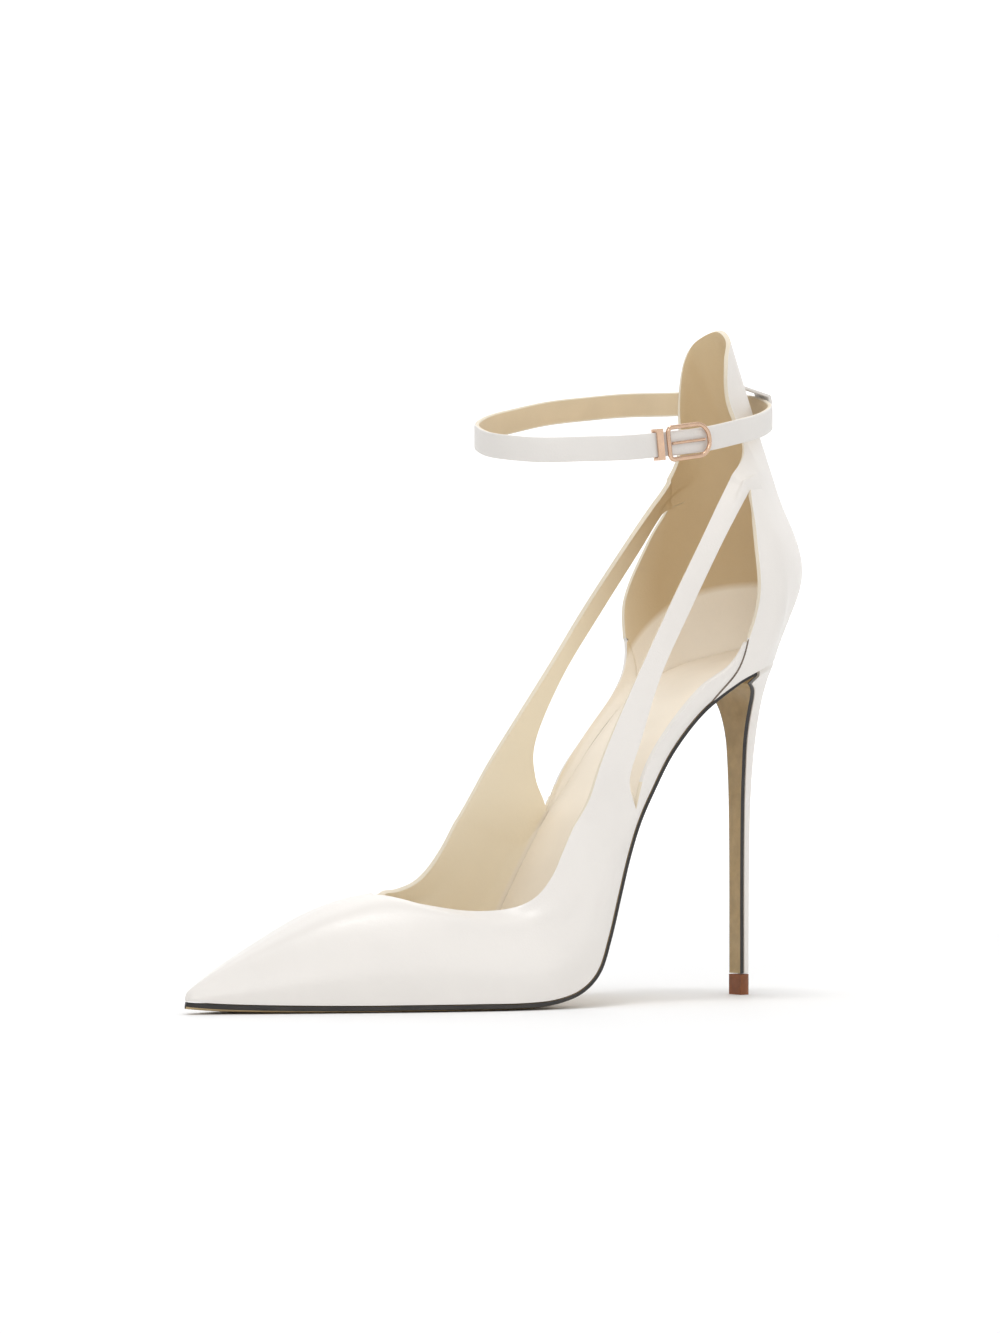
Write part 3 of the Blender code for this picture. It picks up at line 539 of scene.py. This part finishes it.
class Nodes:
    """A material's node tree with short helpers."""

    def __init__(self, name, color, roughness, metallic=0.0, coat=0.0):
        self.material = bpy.data.materials.new(name)
        self.material.use_nodes = True
        self.tree = self.material.node_tree
        self.shader = self.tree.nodes["Principled BSDF"]
        self.set("Base Color", (*color, 1))
        self.set("Roughness", roughness)
        self.set("Metallic", metallic)
        self.set("Coat Weight", coat)
        self.set("Coat Roughness", 0.25)
        self.place = self.add("TexCoord", {}).outputs["Object"]

    def set(self, socket, value):
        """Value on the shader's own socket."""
        self.shader.inputs[socket].default_value = value

    def add(self, kind, inputs, **settings):
        """New node with its settings, and values or other nodes' outputs on its inputs."""
        node = self.tree.nodes.new("ShaderNode" + kind)
        for name, value in settings.items():
            setattr(node, name, value)
        for socket, value in inputs.items():
            if isinstance(value, bpy.types.NodeSocket):
                self.tree.links.new(value, node.inputs[socket])
            else:
                node.inputs[socket].default_value = value
        return node

    def noise(self, scale, detail, roughness=0.5):
        """Noise texture in the object's own space."""
        inputs = {"Vector": self.place, "Scale": scale, "Detail": detail, "Roughness": roughness}
        return self.add("TexNoise", inputs).outputs["Fac"]

    def cells(self, scale):
        """Cell texture, the pebbles of a leather grain."""
        return self.add("TexVoronoi", {"Vector": self.place, "Scale": scale}).outputs["Distance"]

    def mapped(self, value, low, high, start=0.3, end=0.7):
        """A value's range start..end mapped to low..high."""
        inputs = {"Value": value, "From Min": start, "From Max": end, "To Min": low, "To Max": high}
        return self.add("MapRange", inputs).outputs["Result"]

    def mix(self, value, first, second):
        """Colour between two colours, or other nodes' colours, by a value."""
        colors = [(*color, 1) if isinstance(color, tuple) else color for color in (first, second)]
        node = self.add("Mix", dict(zip(MIX_INPUTS, [value] + colors)), data_type="RGBA")
        return node.outputs[MIX_RESULT]

    def calculated(self, operation, *values):
        """Result of a math node on numbers and other nodes' values."""
        return self.add("Math", dict(enumerate(values)), operation=operation).outputs["Value"]

    def paint(self, tone):
        """Base colour from another node's colour."""
        self.tree.links.new(tone, self.shader.inputs["Base Color"])

    def tint(self, value, color, darker, lighter):
        """Base colour that a value moves between two factors of one colour."""
        low, high = shade_of(color, darker), shade_of(color, lighter)
        self.paint(self.mix(self.mapped(value, low=0, high=1), low, high))

    def rough(self, value, low, high):
        """Roughness that a value moves from low to high."""
        self.tree.links.new(self.mapped(value, low, high), self.shader.inputs["Roughness"])

    def bump(self, *layers):
        """Bump from layers, one on the other."""
        under = {}
        for layer in layers:
            inputs = {"Strength": layer.strength, "Distance": layer.distance, "Height": layer.height}
            under = {"Normal": self.add("Bump", {**inputs, **under}).outputs["Normal"]}
        self.tree.links.new(under["Normal"], self.shader.inputs["Normal"])


def shade_of(color, factor):
    """A colour made lighter or darker."""
    return tuple(min(channel * factor, 1.0) for channel in color)


def leather(name, color, roughness, grain, depth, coat=0.0, vary=0.05):
    """Smooth leather: fine pebbles, pores, soft unevenness and slight changes of tone."""
    made = Nodes(name, color, roughness, coat=coat)
    made.tint(made.noise(scale=38, detail=4), color, darker=1 - vary, lighter=1 + vary)
    made.rough(made.noise(scale=grain * 0.5, detail=3), low=roughness - 0.05, high=roughness + 0.07)
    waves = Layer(made.noise(scale=60, detail=3), 0.25, depth * 3)
    pebbles = Layer(made.cells(grain), 0.35, depth)
    pores = Layer(made.noise(scale=grain * 2.2, detail=4), 0.25, depth * 0.5)
    made.bump(waves, pebbles, pores)
    return made.material


def lining_leather(name, color, painted_shade_color, pad_color):
    """Beige lining with painted shade that deepens towards the back, and that turns into the paler heel sock
    below a sloping line.
    """
    made = Nodes(name, color, 0.55)
    place = made.add("SeparateXYZ", {"Vector": made.place})
    back, up = place.outputs["X"], place.outputs["Z"]
    slope = made.calculated("MULTIPLY_ADD", back, SOCK_CURVE, SOCK_SLOPE)
    line = made.calculated("MULTIPLY_ADD", back, slope, SOCK_LINE)
    under = made.calculated("SUBTRACT", line, up)
    inside = made.mapped(under, low=0, high=1, start=-SOCK_BLUR, end=SOCK_BLUR)
    # Painted shade: the lining darkens towards the back
    behind = made.mapped(back, low=0, high=1, start=PAINTED_SHADE_FRONT, end=PAINTED_SHADE_BACK)
    made.paint(made.mix(inside, made.mix(behind, color, painted_shade_color), pad_color))
    made.rough(made.noise(scale=600, detail=3), low=0.48, high=0.64)
    waves = Layer(made.noise(scale=60, detail=3), 0.3, 0.0003)
    pebbles = Layer(made.cells(1100), 0.35, 0.0001)
    pores = Layer(made.noise(scale=2400, detail=4), 0.25, 0.00005)
    made.bump(waves, pebbles, pores)
    return made.material


def dark_edge_and_shadow(name, color):
    """Dark edge paint of the sole, smooth with a few brush waves; also serves as the painted shadow ahead of
    the counter's step.
    """
    made = Nodes(name, color, 0.38, coat=0.15)
    made.tint(made.noise(scale=120, detail=3), color, darker=1, lighter=2.2)
    made.rough(made.noise(scale=200, detail=3), low=0.3, high=0.5)
    made.bump(Layer(made.noise(scale=260, detail=3), 0.2, 0.0002))
    return made.material


def sole_leather(name, color):
    """Tan sole leather with fine fibres and light scuffs."""
    made = Nodes(name, color, 0.5)
    made.tint(made.noise(scale=150, detail=6, roughness=0.65), color, darker=0.82, lighter=1.15)
    made.rough(made.noise(scale=90, detail=4), low=0.42, high=0.62)
    fibres = Layer(made.noise(scale=900, detail=5, roughness=0.7), 0.25, 0.0001)
    made.bump(fibres, Layer(made.cells(700), 0.15, 0.0001))
    return made.material


def metal(name, color):
    """Polished pale gold with faint wear."""
    made = Nodes(name, color, 0.2, metallic=1.0)
    made.tint(made.noise(scale=300, detail=3), color, darker=0.93, lighter=1.04)
    made.rough(made.noise(scale=700, detail=5), low=0.14, high=0.3)
    made.bump(Layer(made.noise(scale=500, detail=3), 0.06, 0.0001))
    return made.material


def lift_plastic(name, color):
    """Moulded top lift, satin, with a fine unevenness."""
    made = Nodes(name, color, 0.55)
    made.tint(made.noise(scale=250, detail=4), color, darker=0.8, lighter=1.3)
    made.rough(made.noise(scale=600, detail=4), low=0.48, high=0.62)
    made.bump(Layer(made.noise(scale=800, detail=5), 0.15, 0.0001))
    return made.material


def rounded_edges(piece, width, segments, angle):
    """Small rounding on a piece's sharp edges."""
    bevel = piece.modifiers.new("edges", "BEVEL")
    bevel.width = width
    bevel.segments = segments
    bevel.limit_method = "ANGLE"
    bevel.angle_limit = math.radians(angle)


# Zones of the wall's outer face, each with three materials in the upper's list: outside, inside, rim
CUT_EDGE_ZONE = 0
FOLDED_EDGE_ZONE = 1
SEAM_SHADOW_ZONE = 2
MATERIALS_PER_ZONE = 3


def zone_of(place, band):
    """Zone of the wall at a section place, in the lower band (0) or the upper one (1)."""
    if band == 1 or place >= COUNTER_START:
        return CUT_EDGE_ZONE
    # Just ahead of the counter's step the outside takes the painted seam shadow
    if place >= COUNTER_START - SEAM_SHADOW_REACH * COUNTER_FADE:
        return SEAM_SHADOW_ZONE
    return FOLDED_EDGE_ZONE if place > CUTOUT_FRONT + FOLD_START else CUT_EDGE_ZONE


# A point of the wall: its place on the part, its section place, and its share of the wall's height
WallPoint = namedtuple("WallPoint", "spot place rise")


def wall_grid(side):
    """Wall points of one side, column by column, each column in a lower and an upper band."""
    grid = []
    for place, low, high in wall_columns(side):
        bands = []
        for band, points in enumerate((low, high)):
            last = len(points) - 1
            bands.append([WallPoint(placed(point.x, side * max(point.y, 0), point.z), place,
                                    (row / last + band) / 2)
                          for row, point in enumerate(points)])
        grid.append(bands)
    return grid


def make_wall(made, side):
    """One side of the wall as faces, then raised by its relief."""
    grid = wall_grid(side)
    verts = [[[made.verts.new(point.spot) for point in band] for band in bands] for bands in grid]
    for here, there, place in zip(verts, verts[1:], column_places()):
        for band in (0, 1):
            for row in range(len(here[band]) - 1):
                corners = (here[band][row], there[band][row],
                           there[band][row + 1], here[band][row + 1])
                face = made.faces.new(corners if side < 0 else reversed(corners))
                face.material_index = MATERIALS_PER_ZONE * zone_of(place, band)
    made.normal_update()
    for column, bands in zip(verts, grid):
        for band in (0, 1):
            for vert, point in zip(column[band], bands[band]):
                aside = abs(vert.co.y - swing(vert.co.x + ORIGIN_BACK))
                if aside > MIDDLE_CLEAR or point.place > THROAT:
                    vert.co += vert.normal * relief(point.place, point.rise, band, side)


def dress_upper(materials, home):
    """Vamp, strips, rands, counter and tab: white outside with a painted shadow ahead of the counter, tan
    lining with painted shade towards the back, cream cut edges.
    """
    made = bmesh.new()
    for side in (-1, 1):
        make_wall(made, side)
    bmesh.ops.remove_doubles(made, verts=made.verts, dist=WALL_MERGE)
    bmesh.ops.dissolve_degenerate(made, dist=WALL_DEGENERATE, edges=made.edges)
    bmesh.ops.recalc_face_normals(made, faces=made.faces)
    piece = new_object("upper_leather", made, materials, home, sharp=60)
    wall = piece.modifiers.new("wall", "SOLIDIFY")
    wall.thickness = UPPER_WALL
    wall.offset = -1
    wall.material_offset = 1
    wall.material_offset_rim = 2
    rounded_edges(piece, width=0.0004, segments=2, angle=50)
    dress(piece, "upper")


def rounded_slab(name, rows, materials, home, side_material, bottom_material):
    """Slab through (low, high) rows of points, closed at both ends.

    The side's material also takes the outermost strip of the underside on either side.
    """
    made = bmesh.new()
    rings = []
    for low, high in rows:
        rings.append([made.verts.new(point) for point in low + list(reversed(high))])
    count = len(rings[0])
    last_low = len(rows[0][0]) - 1
    for here, there in zip(rings, rings[1:]):
        for index in range(count):
            after = (index + 1) % count
            face = made.faces.new((here[index], here[after], there[after], there[index]))
            if index in (0, last_low - 1, last_low, count - 1):
                face.material_index = side_material
            elif index < last_low:
                face.material_index = bottom_material
    for ring in (rings[0], rings[-1]):
        made.faces.new(ring).material_index = side_material
    bmesh.ops.recalc_face_normals(made, faces=made.faces)
    return new_object(name, made, materials, home, sharp=50)


def breast_line():
    """Front of the heel from the seat down to the top lift, as (back, up, half width)."""
    rows = []
    for row in reversed(HEEL_ROWS):
        front, _, half, up, _ = heel_profile(row)
        rows.append((front, up, half))
    rows.append((BREAST_PLACE, TOP_LIFT_HEIGHT + SEAM_GAP, SHAFT_WIDTH / 2))
    return rows


def dress_outsole(materials, home):
    """Sole with its black painted edge and tan underside, and the flap on the heel breast."""
    seat_front = BREAST_PLACE + HEEL_ROWS[-1].front * SHAFT_WIDTH
    end = section_at(seat_front - SEAT_FREE * OUTSOLE_THICKNESS)
    rows = []
    for step in range(SOLE_STEPS + 1):
        place = SOLE_START + (end - SOLE_START) * step / SOLE_STEPS
        half = max(spline(FEATHER_POINTS, place).y, SOLE_TIP)
        high = sole_point(place, OUTSOLE_THICKNESS)
        low = []
        skived = SOLE_SKIVE * smooth(COUNTER_START, COUNTER_START + 1, place)
        bevel = SOLE_EDGE_BEVEL * (1 - skived / SOLE_SKIVE)
        for share in SOLE_SHARES:
            point = sole_point(place, skived + bevel * abs(share) ** EDGE_SHARPNESS)
            low.append(placed(point.x, share * half, point.z))
        rows.append((low, [placed(high.x, share * half, high.z) for share in SOLE_SHARES]))
    line = [Vector(row) for row in breast_line()]
    for step in range((len(line) - 1) * HEEL_STEPS_PER_ROW + 1):
        back, up, half = spline(line, step / HEEL_STEPS_PER_ROW)
        inner = back - SEAM_GAP
        outer = inner - BREAST_FLAP_THICKNESS
        wide = half - SEAM_GAP / 2
        rows.append(([placed(outer, share * wide, up) for share in SOLE_SHARES],
                     [placed(inner, share * wide, up) for share in SOLE_SHARES]))
    piece = rounded_slab("outsole_leather", rows, materials, home, 1, 0)
    dress(piece, "outsole")


def footbed_rise(back, share):
    """Thickness of the footbed at a length along the shoe and a share of its half width."""
    near_edge = abs(share) ** FOOTBED_ROUNDING
    pad_front = PAD_SHARE * SHOE_LENGTH - PAD_CURVE * (1 - share * share)
    pad = PAD_RISE * smooth(pad_front - PAD_EDGE, pad_front + PAD_EDGE, back)
    middle = (pad - FOOTBED_EDGE_DROP) * FOOTBED_MIDDLE_SHARE
    return FOOTBED_THICKNESS + middle * (1 - near_edge) - FOOTBED_EDGE_DROP * near_edge


def dress_insole(materials, home):
    """Footbed with a soft rounded edge and the line of its heel pad."""
    margin = FOOTBED_TUCK * UPPER_WALL
    base = OUTSOLE_THICKNESS + SEAM_GAP
    end = len(FEATHER) - 1 - FOOTBED_END_GAP
    rows = []
    for step in range(SOLE_STEPS + 1):
        back, half = inset_edge(FOOTBED_START + (end - FOOTBED_START) * step / SOLE_STEPS, margin)
        if half > margin / 3:
            place = section_at(back)
            bottom = sole_point(place, base)
            low = [placed(bottom.x, share * half, bottom.z) for share in SOLE_SHARES]
            high = []
            for share in SOLE_SHARES:
                top = sole_point(place, base + footbed_rise(back, share))
                high.append(placed(top.x, share * half, top.z))
            rows.append((low, high))
    piece = rounded_slab("footbed", rows, materials, home, 0, 0)
    dress(piece, "insole")


def loft(rings, closed_along=False):
    """Solid through rings of equally many points."""
    made = bmesh.new()
    verts = [[made.verts.new(point) for point in ring] for ring in rings]
    count = len(rings[0])
    pairs = list(zip(verts, verts[1:]))
    if closed_along:
        pairs.append((verts[-1], verts[0]))
    for here, there in pairs:
        for index in range(count):
            after = (index + 1) % count
            made.faces.new((here[index], here[after], there[after], there[index]))
    if not closed_along:
        made.faces.new(list(reversed(verts[0])))
        made.faces.new(verts[-1])
    bmesh.ops.recalc_face_normals(made, faces=made.faces)
    return made


def heel_ring(front, back, half, up, tilt):
    """D-shaped section: flat in front, round behind."""
    ring = []
    power = 2 / ROUNDNESS
    for step in range(HEEL_RING_STEPS + 1):
        turn = math.pi * (step / HEEL_RING_STEPS - 0.5)
        along = max(math.cos(turn), 0) ** power
        aside = math.copysign(abs(math.sin(turn)) ** power, turn)
        ring.append(placed(front + (back - front) * along, half * aside, up + tilt * along))
    return ring


def seat_ring(front, rise):
    """Ring of the heel's top along the sole edge, drawn in a little, from front round to front."""
    ring = []
    end = len(FEATHER) - 1
    start = section_at(front)
    half_steps = HEEL_RING_STEPS // 2
    for step in range(-half_steps, half_steps + 1):
        place = end - (end - start) * abs(step) / half_steps
        point = sole_point(place, rise)
        back = front + SEAT_TUCK * max(point.x - front, 0)
        ring.append(placed(back, SEAT_TUCK * math.copysign(point.y, step), point.z))
    return ring


def dress_heel(materials, home):
    """Covered heel, smooth from the slim foot to the flared seat."""
    keys = [Vector((BREAST_PLACE, BREAST_PLACE + SHAFT_DEPTH, SHAFT_WIDTH / 2))]
    lifts = [Vector((TOP_LIFT_HEIGHT + SEAM_GAP, 0, 0))]
    for row in HEEL_ROWS:
        front, back, half, up, tilt = heel_profile(row)
        keys.append(Vector((front, back, half)))
        lifts.append(Vector((up, tilt, 0)))
    rings = []
    for step in range((len(keys) - 1) * HEEL_STEPS_PER_ROW + 1):
        shape = spline(keys, step / HEEL_STEPS_PER_ROW)
        lift = spline(lifts, step / HEEL_STEPS_PER_ROW)
        rings.append(heel_ring(shape.x, shape.y, shape.z, lift.x, lift.y))
    front = rings[-1][0].x + ORIGIN_BACK
    rings += [seat_ring(front, rise) for rise in (0.0, OUTSOLE_THICKNESS)]
    piece = new_object("heel_cover", loft(rings), materials, home, sharp=50)
    rounded_edges(piece, width=0.0003, segments=2, angle=50)
    dress(piece, "heel")


def strap_outline():
    """The strap's section as (out, up) points, with rounded corners, from the outer upper one on."""
    rounding = STRAP_ROUNDING * STRAP_THICKNESS
    far = STRAP_THICKNESS - rounding
    high = STRAP_WIDTH / 2 - rounding
    outline = []
    for middle_out, middle_up, start in ((far, high, 0), (rounding, high, 90),
                                         (rounding, -high, 180), (far, -high, 270)):
        for step in range(STRAP_CORNER_POINTS):
            angle = math.radians(start + 90 * step / (STRAP_CORNER_POINTS - 1))
            outline.append((middle_out + rounding * math.cos(angle), middle_up + rounding * math.sin(angle)))
    return outline


def dress_strap(materials, home):
    """Ankle strap: white outside with painted shade, beige inside, rounded cut edges."""
    outline = strap_outline()
    rings = []
    for step in range(STRAP_STEPS):
        turn = 2 * math.pi * step / STRAP_STEPS
        rise = sum(wave.height * math.sin(wave.count * turn + wave.shift) for wave in STRAP_WAVES)
        rings.append([strap_point(turn, out, up + rise) for out, up in outline])
    made = loft(rings, closed_along=True)
    inner_face = 2 * STRAP_CORNER_POINTS - 1
    cut_edges = range(STRAP_CORNER_POINTS - 1, 3 * STRAP_CORNER_POINTS)
    for index, face in enumerate(made.faces):
        strip = index % len(outline)
        if strip == inner_face:
            face.material_index = 1
        elif strip in cut_edges:
            face.material_index = 2
    piece = new_object("ankle_strap_leather", made, materials, home, sharp=50)
    dress(piece, "ankle_strap")


def wire_rings(points, radius, closed):
    """Rings of a round wire through points."""
    rings = []
    count = len(points)
    for index, point in enumerate(points):
        if closed:
            run = points[(index + 1) % count] - points[index - 1]
        else:
            run = points[min(index + 1, count - 1)] - points[max(index - 1, 0)]
        run.normalize()
        first = run.cross(Vector((0, 0, 1)) if abs(run.z) < STEEP_RUN else LEVEL_DIRECTION)
        if rings:
            spoke = rings[-1][0] - points[index - 1]
            first = spoke - run * spoke.dot(run)
        first.normalize()
        second = run.cross(first)
        angles = [2 * math.pi * side / WIRE_SIDES for side in range(WIRE_SIDES)]
        rings.append([point + (first * math.cos(angle) + second * math.sin(angle)) * radius
                      for angle in angles])
    return rings


def buckle_axes():
    """Middle, forward, upward and outward directions of the buckle."""
    here, ahead, out = strap_frame(BUCKLE_PLACE)
    up = Vector((0, 0, 1))
    up = (up - ahead * up.dot(ahead)).normalized()
    return here, ahead, up, out


def dress_buckle(materials, home):
    """Buckle's frame, with one square and one rounder end."""
    here, ahead, up, out = buckle_axes()
    lift = STRAP_THICKNESS + SEAM_GAP + BUCKLE_WIRE / 2
    points = []
    for corner in BUCKLE_CORNERS:
        for step in range(BUCKLE_CORNER_POINTS):
            angle = math.radians(corner.start + 90 * step / (BUCKLE_CORNER_POINTS - 1))
            along = corner.end * (BUCKLE_HALF_LENGTH - corner.radius) + corner.radius * math.cos(angle)
            high = corner.edge * (BUCKLE_HALF_HEIGHT - corner.radius) + corner.radius * math.sin(angle)
            points.append(here + ahead * along + up * high + out * lift)
    rings = wire_rings(points, BUCKLE_WIRE / 2, closed=True)
    piece = new_object("buckle_frame", loft(rings, closed_along=True), materials, home, sharp=60)
    dress(piece, "buckle")


def dress_prong(materials, home):
    """Prong across the buckle's frame."""
    here, ahead, _, out = buckle_axes()
    reach = BUCKLE_HALF_LENGTH - BUCKLE_WIRE / 2 - SEAM_GAP - PRONG_WIRE / 2
    lift = STRAP_THICKNESS + SEAM_GAP + PRONG_WIRE / 2
    line = [here + ahead * (reach * (2 * step / PRONG_STEPS - 1)) + out * lift
            for step in range(PRONG_STEPS + 1)]
    rings = wire_rings(line, PRONG_WIRE / 2, closed=False)
    piece = new_object("buckle_tongue", loft(rings), materials, home, sharp=60)
    dress(piece, "buckle_prong")


def dress_node(node, shade, width):
    """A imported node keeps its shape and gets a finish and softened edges."""
    node.data.materials.clear()
    node.data.materials.append(shade)
    rounded_edges(node, width=width, segments=2, angle=40)


def dress_back_loop(materials, home):
    """Leather loop behind the tab, with rounded folds."""
    high = STRAP_MIDDLE_UP + BACK_LOOP_HEIGHT / 2
    low = STRAP_MIDDLE_UP - STRAP_WIDTH / 2 - SEAM_GAP - BACK_LOOP_THICKNESS
    wall = BACK_LOOP_THICKNESS
    far = STRAP_BACK + STRAP_THICKNESS + SEAM_GAP
    strap_top = STRAP_MIDDLE_UP + STRAP_WIDTH / 2 + SEAM_GAP
    inner = [(tab_back(high) + SEAM_GAP, high),
             (far - FOLD_IN * wall, strap_top + FOLD_UP * wall),
             (far, strap_top - wall),
             (far, low + wall),
             (tab_back(low) + SEAM_GAP, low + wall)]
    outer = [(tab_back(high + wall) + SEAM_GAP, high + wall),
             (far + FOLD_OUT * wall, strap_top + wall),
             (far + wall, strap_top - FOLD_DOWN * wall),
             (far + wall, low),
             (tab_back(low) + SEAM_GAP, low)]
    outline = inner + list(reversed(outer))
    rings = []
    for step in range(BACK_LOOP_STEPS + 1):
        aside = BACK_LOOP_WIDTH * (step / BACK_LOOP_STEPS - 0.5)
        slant = STRAP_SIDE_DROP * aside / STRAP_HALF_WIDTH
        rings.append([placed(back, aside, up + slant) for back, up in outline])
    piece = new_object("back_loop_leather", loft(rings), materials, home, sharp=40)
    rounded_edges(piece, width=0.00035, segments=3, angle=25)
    dress(piece, "back_loop")


# Camera fitted to the photograph: aim point, distance, azimuth and focal length in pixels
CAMERA_AIM = Vector((0.106 - ORIGIN_BACK, -0.007, 0.103))
CAMERA_DISTANCE = 1.8
CAMERA_AZIMUTH = math.radians(33.2)
FOCAL_PIXELS = 5912
PICTURE_HEIGHT = 1333
# Millimetres, along the picture's longer side, its height
SENSOR_LENGTH = 36

# Floor: half its width and the same reach in front of the shoe; where it bends up behind the shoe,
# the bend's radius and its top, in metres
FLOOR_HALF_WIDTH = 6.0
BEND_START = 2.0
BEND_RADIUS = 1.2
BACKDROP_TOP = 5.0
# The backdrop glows a little so that it stays white: how much, and over which distance it begins
BACKDROP_GLOW = 0.42
GLOW_NEAR = 0.4
GLOW_FAR = 2.0

# Soft square lights: place, length of a side in metres, and watts
Light = namedtuple("Light", "name place size power")
LIGHTS = [Light(*row) for row in (
    ("key", (-1.2, -1.4, 1.2), 1.0, 6.2),
    ("fill", (0.5, -1.7, 0.7), 1.4, 2.2),
    ("top", (-0.1, -0.1, 1.6), 0.35, 5.8),
    ("back", (0.7, 1.4, 1.2), 1.2, 2.2),
)]
LIGHT_AIM_HEIGHT = 0.08
WORLD_STRENGTH = 0.69


def make_floor(home):
    """Pale floor that sweeps up behind the shoe."""
    made = bmesh.new()
    rows = []
    profile = [(-FLOOR_HALF_WIDTH, 0.0), (BEND_START, 0.0)]
    for step in range(1, BACKDROP_STEPS + 1):
        angle = math.radians(90 * step / BACKDROP_STEPS)
        profile.append((BEND_START + BEND_RADIUS * math.sin(angle), BEND_RADIUS * (1 - math.cos(angle))))
    profile.append((BEND_START + BEND_RADIUS, BACKDROP_TOP))
    turn = CAMERA_AZIMUTH
    for away, up in profile:
        row = []
        for aside in (-FLOOR_HALF_WIDTH, FLOOR_HALF_WIDTH):
            x = math.sin(turn) * away + math.cos(turn) * aside
            y = math.cos(turn) * away - math.sin(turn) * aside
            row.append(made.verts.new((x, y, up)))
        rows.append(row)
    for here, there in zip(rows, rows[1:]):
        made.faces.new((here[0], here[1], there[1], there[0]))
    bmesh.ops.recalc_face_normals(made, faces=made.faces)
    pale = Nodes("pale_floor", (0.92, 0.92, 0.92), 0.6)
    pale.set("Specular IOR Level", 0.1)
    pale.set("Emission Color", (1, 1, 1, 1))
    behind = (math.sin(turn), math.cos(turn), 0)
    ahead = pale.add("VectorMath", {0: pale.place, 1: behind}, operation="DOT_PRODUCT")
    glow = pale.mapped(ahead.outputs["Value"], low=0, high=BACKDROP_GLOW, start=GLOW_NEAR, end=GLOW_FAR)
    pale.tree.links.new(glow, pale.shader.inputs["Emission Strength"])
    floor = new_object("floor", made, [pale.material], home)


def make_camera():
    """Camera at the photograph's angle."""
    data = bpy.data.cameras.new("camera")
    data.sensor_width = SENSOR_LENGTH
    data.lens = FOCAL_PIXELS / PICTURE_HEIGHT * SENSOR_LENGTH
    camera = bpy.data.objects.new("camera", data)
    away = Vector((-math.sin(CAMERA_AZIMUTH), -math.cos(CAMERA_AZIMUTH), 0))
    camera.location = CAMERA_AIM + away * CAMERA_DISTANCE
    camera.rotation_euler = (-away).to_track_quat("-Z", "Y").to_euler()
    bpy.context.scene.collection.objects.link(camera)
    bpy.context.scene.camera = camera


def make_lights():
    """Plain soft studio light."""
    aim = Vector((CAMERA_AIM.x, CAMERA_AIM.y, LIGHT_AIM_HEIGHT))
    for light in LIGHTS:
        data = bpy.data.lights.new(light.name, "AREA")
        data.size = light.size
        data.energy = light.power
        lamp = bpy.data.objects.new(light.name, data)
        lamp.location = light.place
        lamp.rotation_euler = (aim - Vector(light.place)).to_track_quat("-Z", "Y").to_euler()
        bpy.context.scene.collection.objects.link(lamp)
    world = bpy.data.worlds.new("studio")
    world.use_nodes = True
    sky = world.node_tree.nodes["Background"]
    sky.inputs["Color"].default_value = (1, 1, 1, 1)
    sky.inputs["Strength"].default_value = WORLD_STRENGTH
    bpy.context.scene.world = world
    bpy.context.scene.view_settings.view_transform = "Standard"


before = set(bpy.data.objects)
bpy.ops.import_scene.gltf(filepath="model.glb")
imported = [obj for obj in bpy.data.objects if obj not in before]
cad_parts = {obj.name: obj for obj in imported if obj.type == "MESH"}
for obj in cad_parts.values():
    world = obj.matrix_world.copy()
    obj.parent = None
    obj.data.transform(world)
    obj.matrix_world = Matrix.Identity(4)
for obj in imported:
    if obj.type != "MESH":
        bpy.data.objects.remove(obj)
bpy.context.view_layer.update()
shoe = bpy.data.collections.new("ankle_strap_pump")
bpy.context.scene.collection.children.link(shoe)
make_camera()
make_lights()
make_floor(shoe)

white = leather("white_leather", WHITE, 0.40, 1500, 0.00006, coat=0.12, vary=0.02)
# The strap and back loop take a darker copy of the white leather, painted shade
shaded_strap_white = leather("strap_leather", SHADED_STRAP_WHITE, 0.45, 1300, 0.00010, coat=0.05, vary=0.03)
lining = lining_leather("lining_leather", LINING, LINING_PAINTED_SHADE, HEEL_LINING)
strap_lining = leather("strap_lining", STRAP_LINING, 0.55, 1100, 0.00010, vary=0.08)
# Painted shadow for the gap ahead of the counter's step
seam_shadow = dark_edge_and_shadow("counter_seam_shadow", SEAM_SHADOW)
cut_edge = leather("cut_edge", EDGE_CREAM, 0.60, 1200, 0.00008, vary=0.08)
cushion = leather("footbed_leather", FOOTBED, 0.55, 1200, 0.00008, vary=0.04)
sole_tan = sole_leather("sole_leather", SOLE_TAN)
edge_paint = dark_edge_and_shadow("sole_edge_paint", EDGE_BLACK)
lift_shade = lift_plastic("top_lift_plastic", LIFT_BROWN)
gold = metal("pale_gold", GOLD)

# Outside, inside and rim of each zone: cut edge, folded edge, painted seam shadow
upper_shades = [white, lining, cut_edge]
upper_shades += [white, lining, white]
upper_shades += [seam_shadow, lining, white]
dress_upper(upper_shades, shoe)
dress_outsole([sole_tan, edge_paint], shoe)
dress_insole([cushion], shoe)
dress_heel([white], shoe)
dress_strap([shaded_strap_white, strap_lining, cut_edge], shoe)
dress_buckle([gold], shoe)
dress_prong([gold], shoe)
dress_back_loop([shaded_strap_white], shoe)
dress_node(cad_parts["top_lift"], lift_shade, width=0.0003)
dress_node(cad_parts["keeper"], gold, width=0.0002)
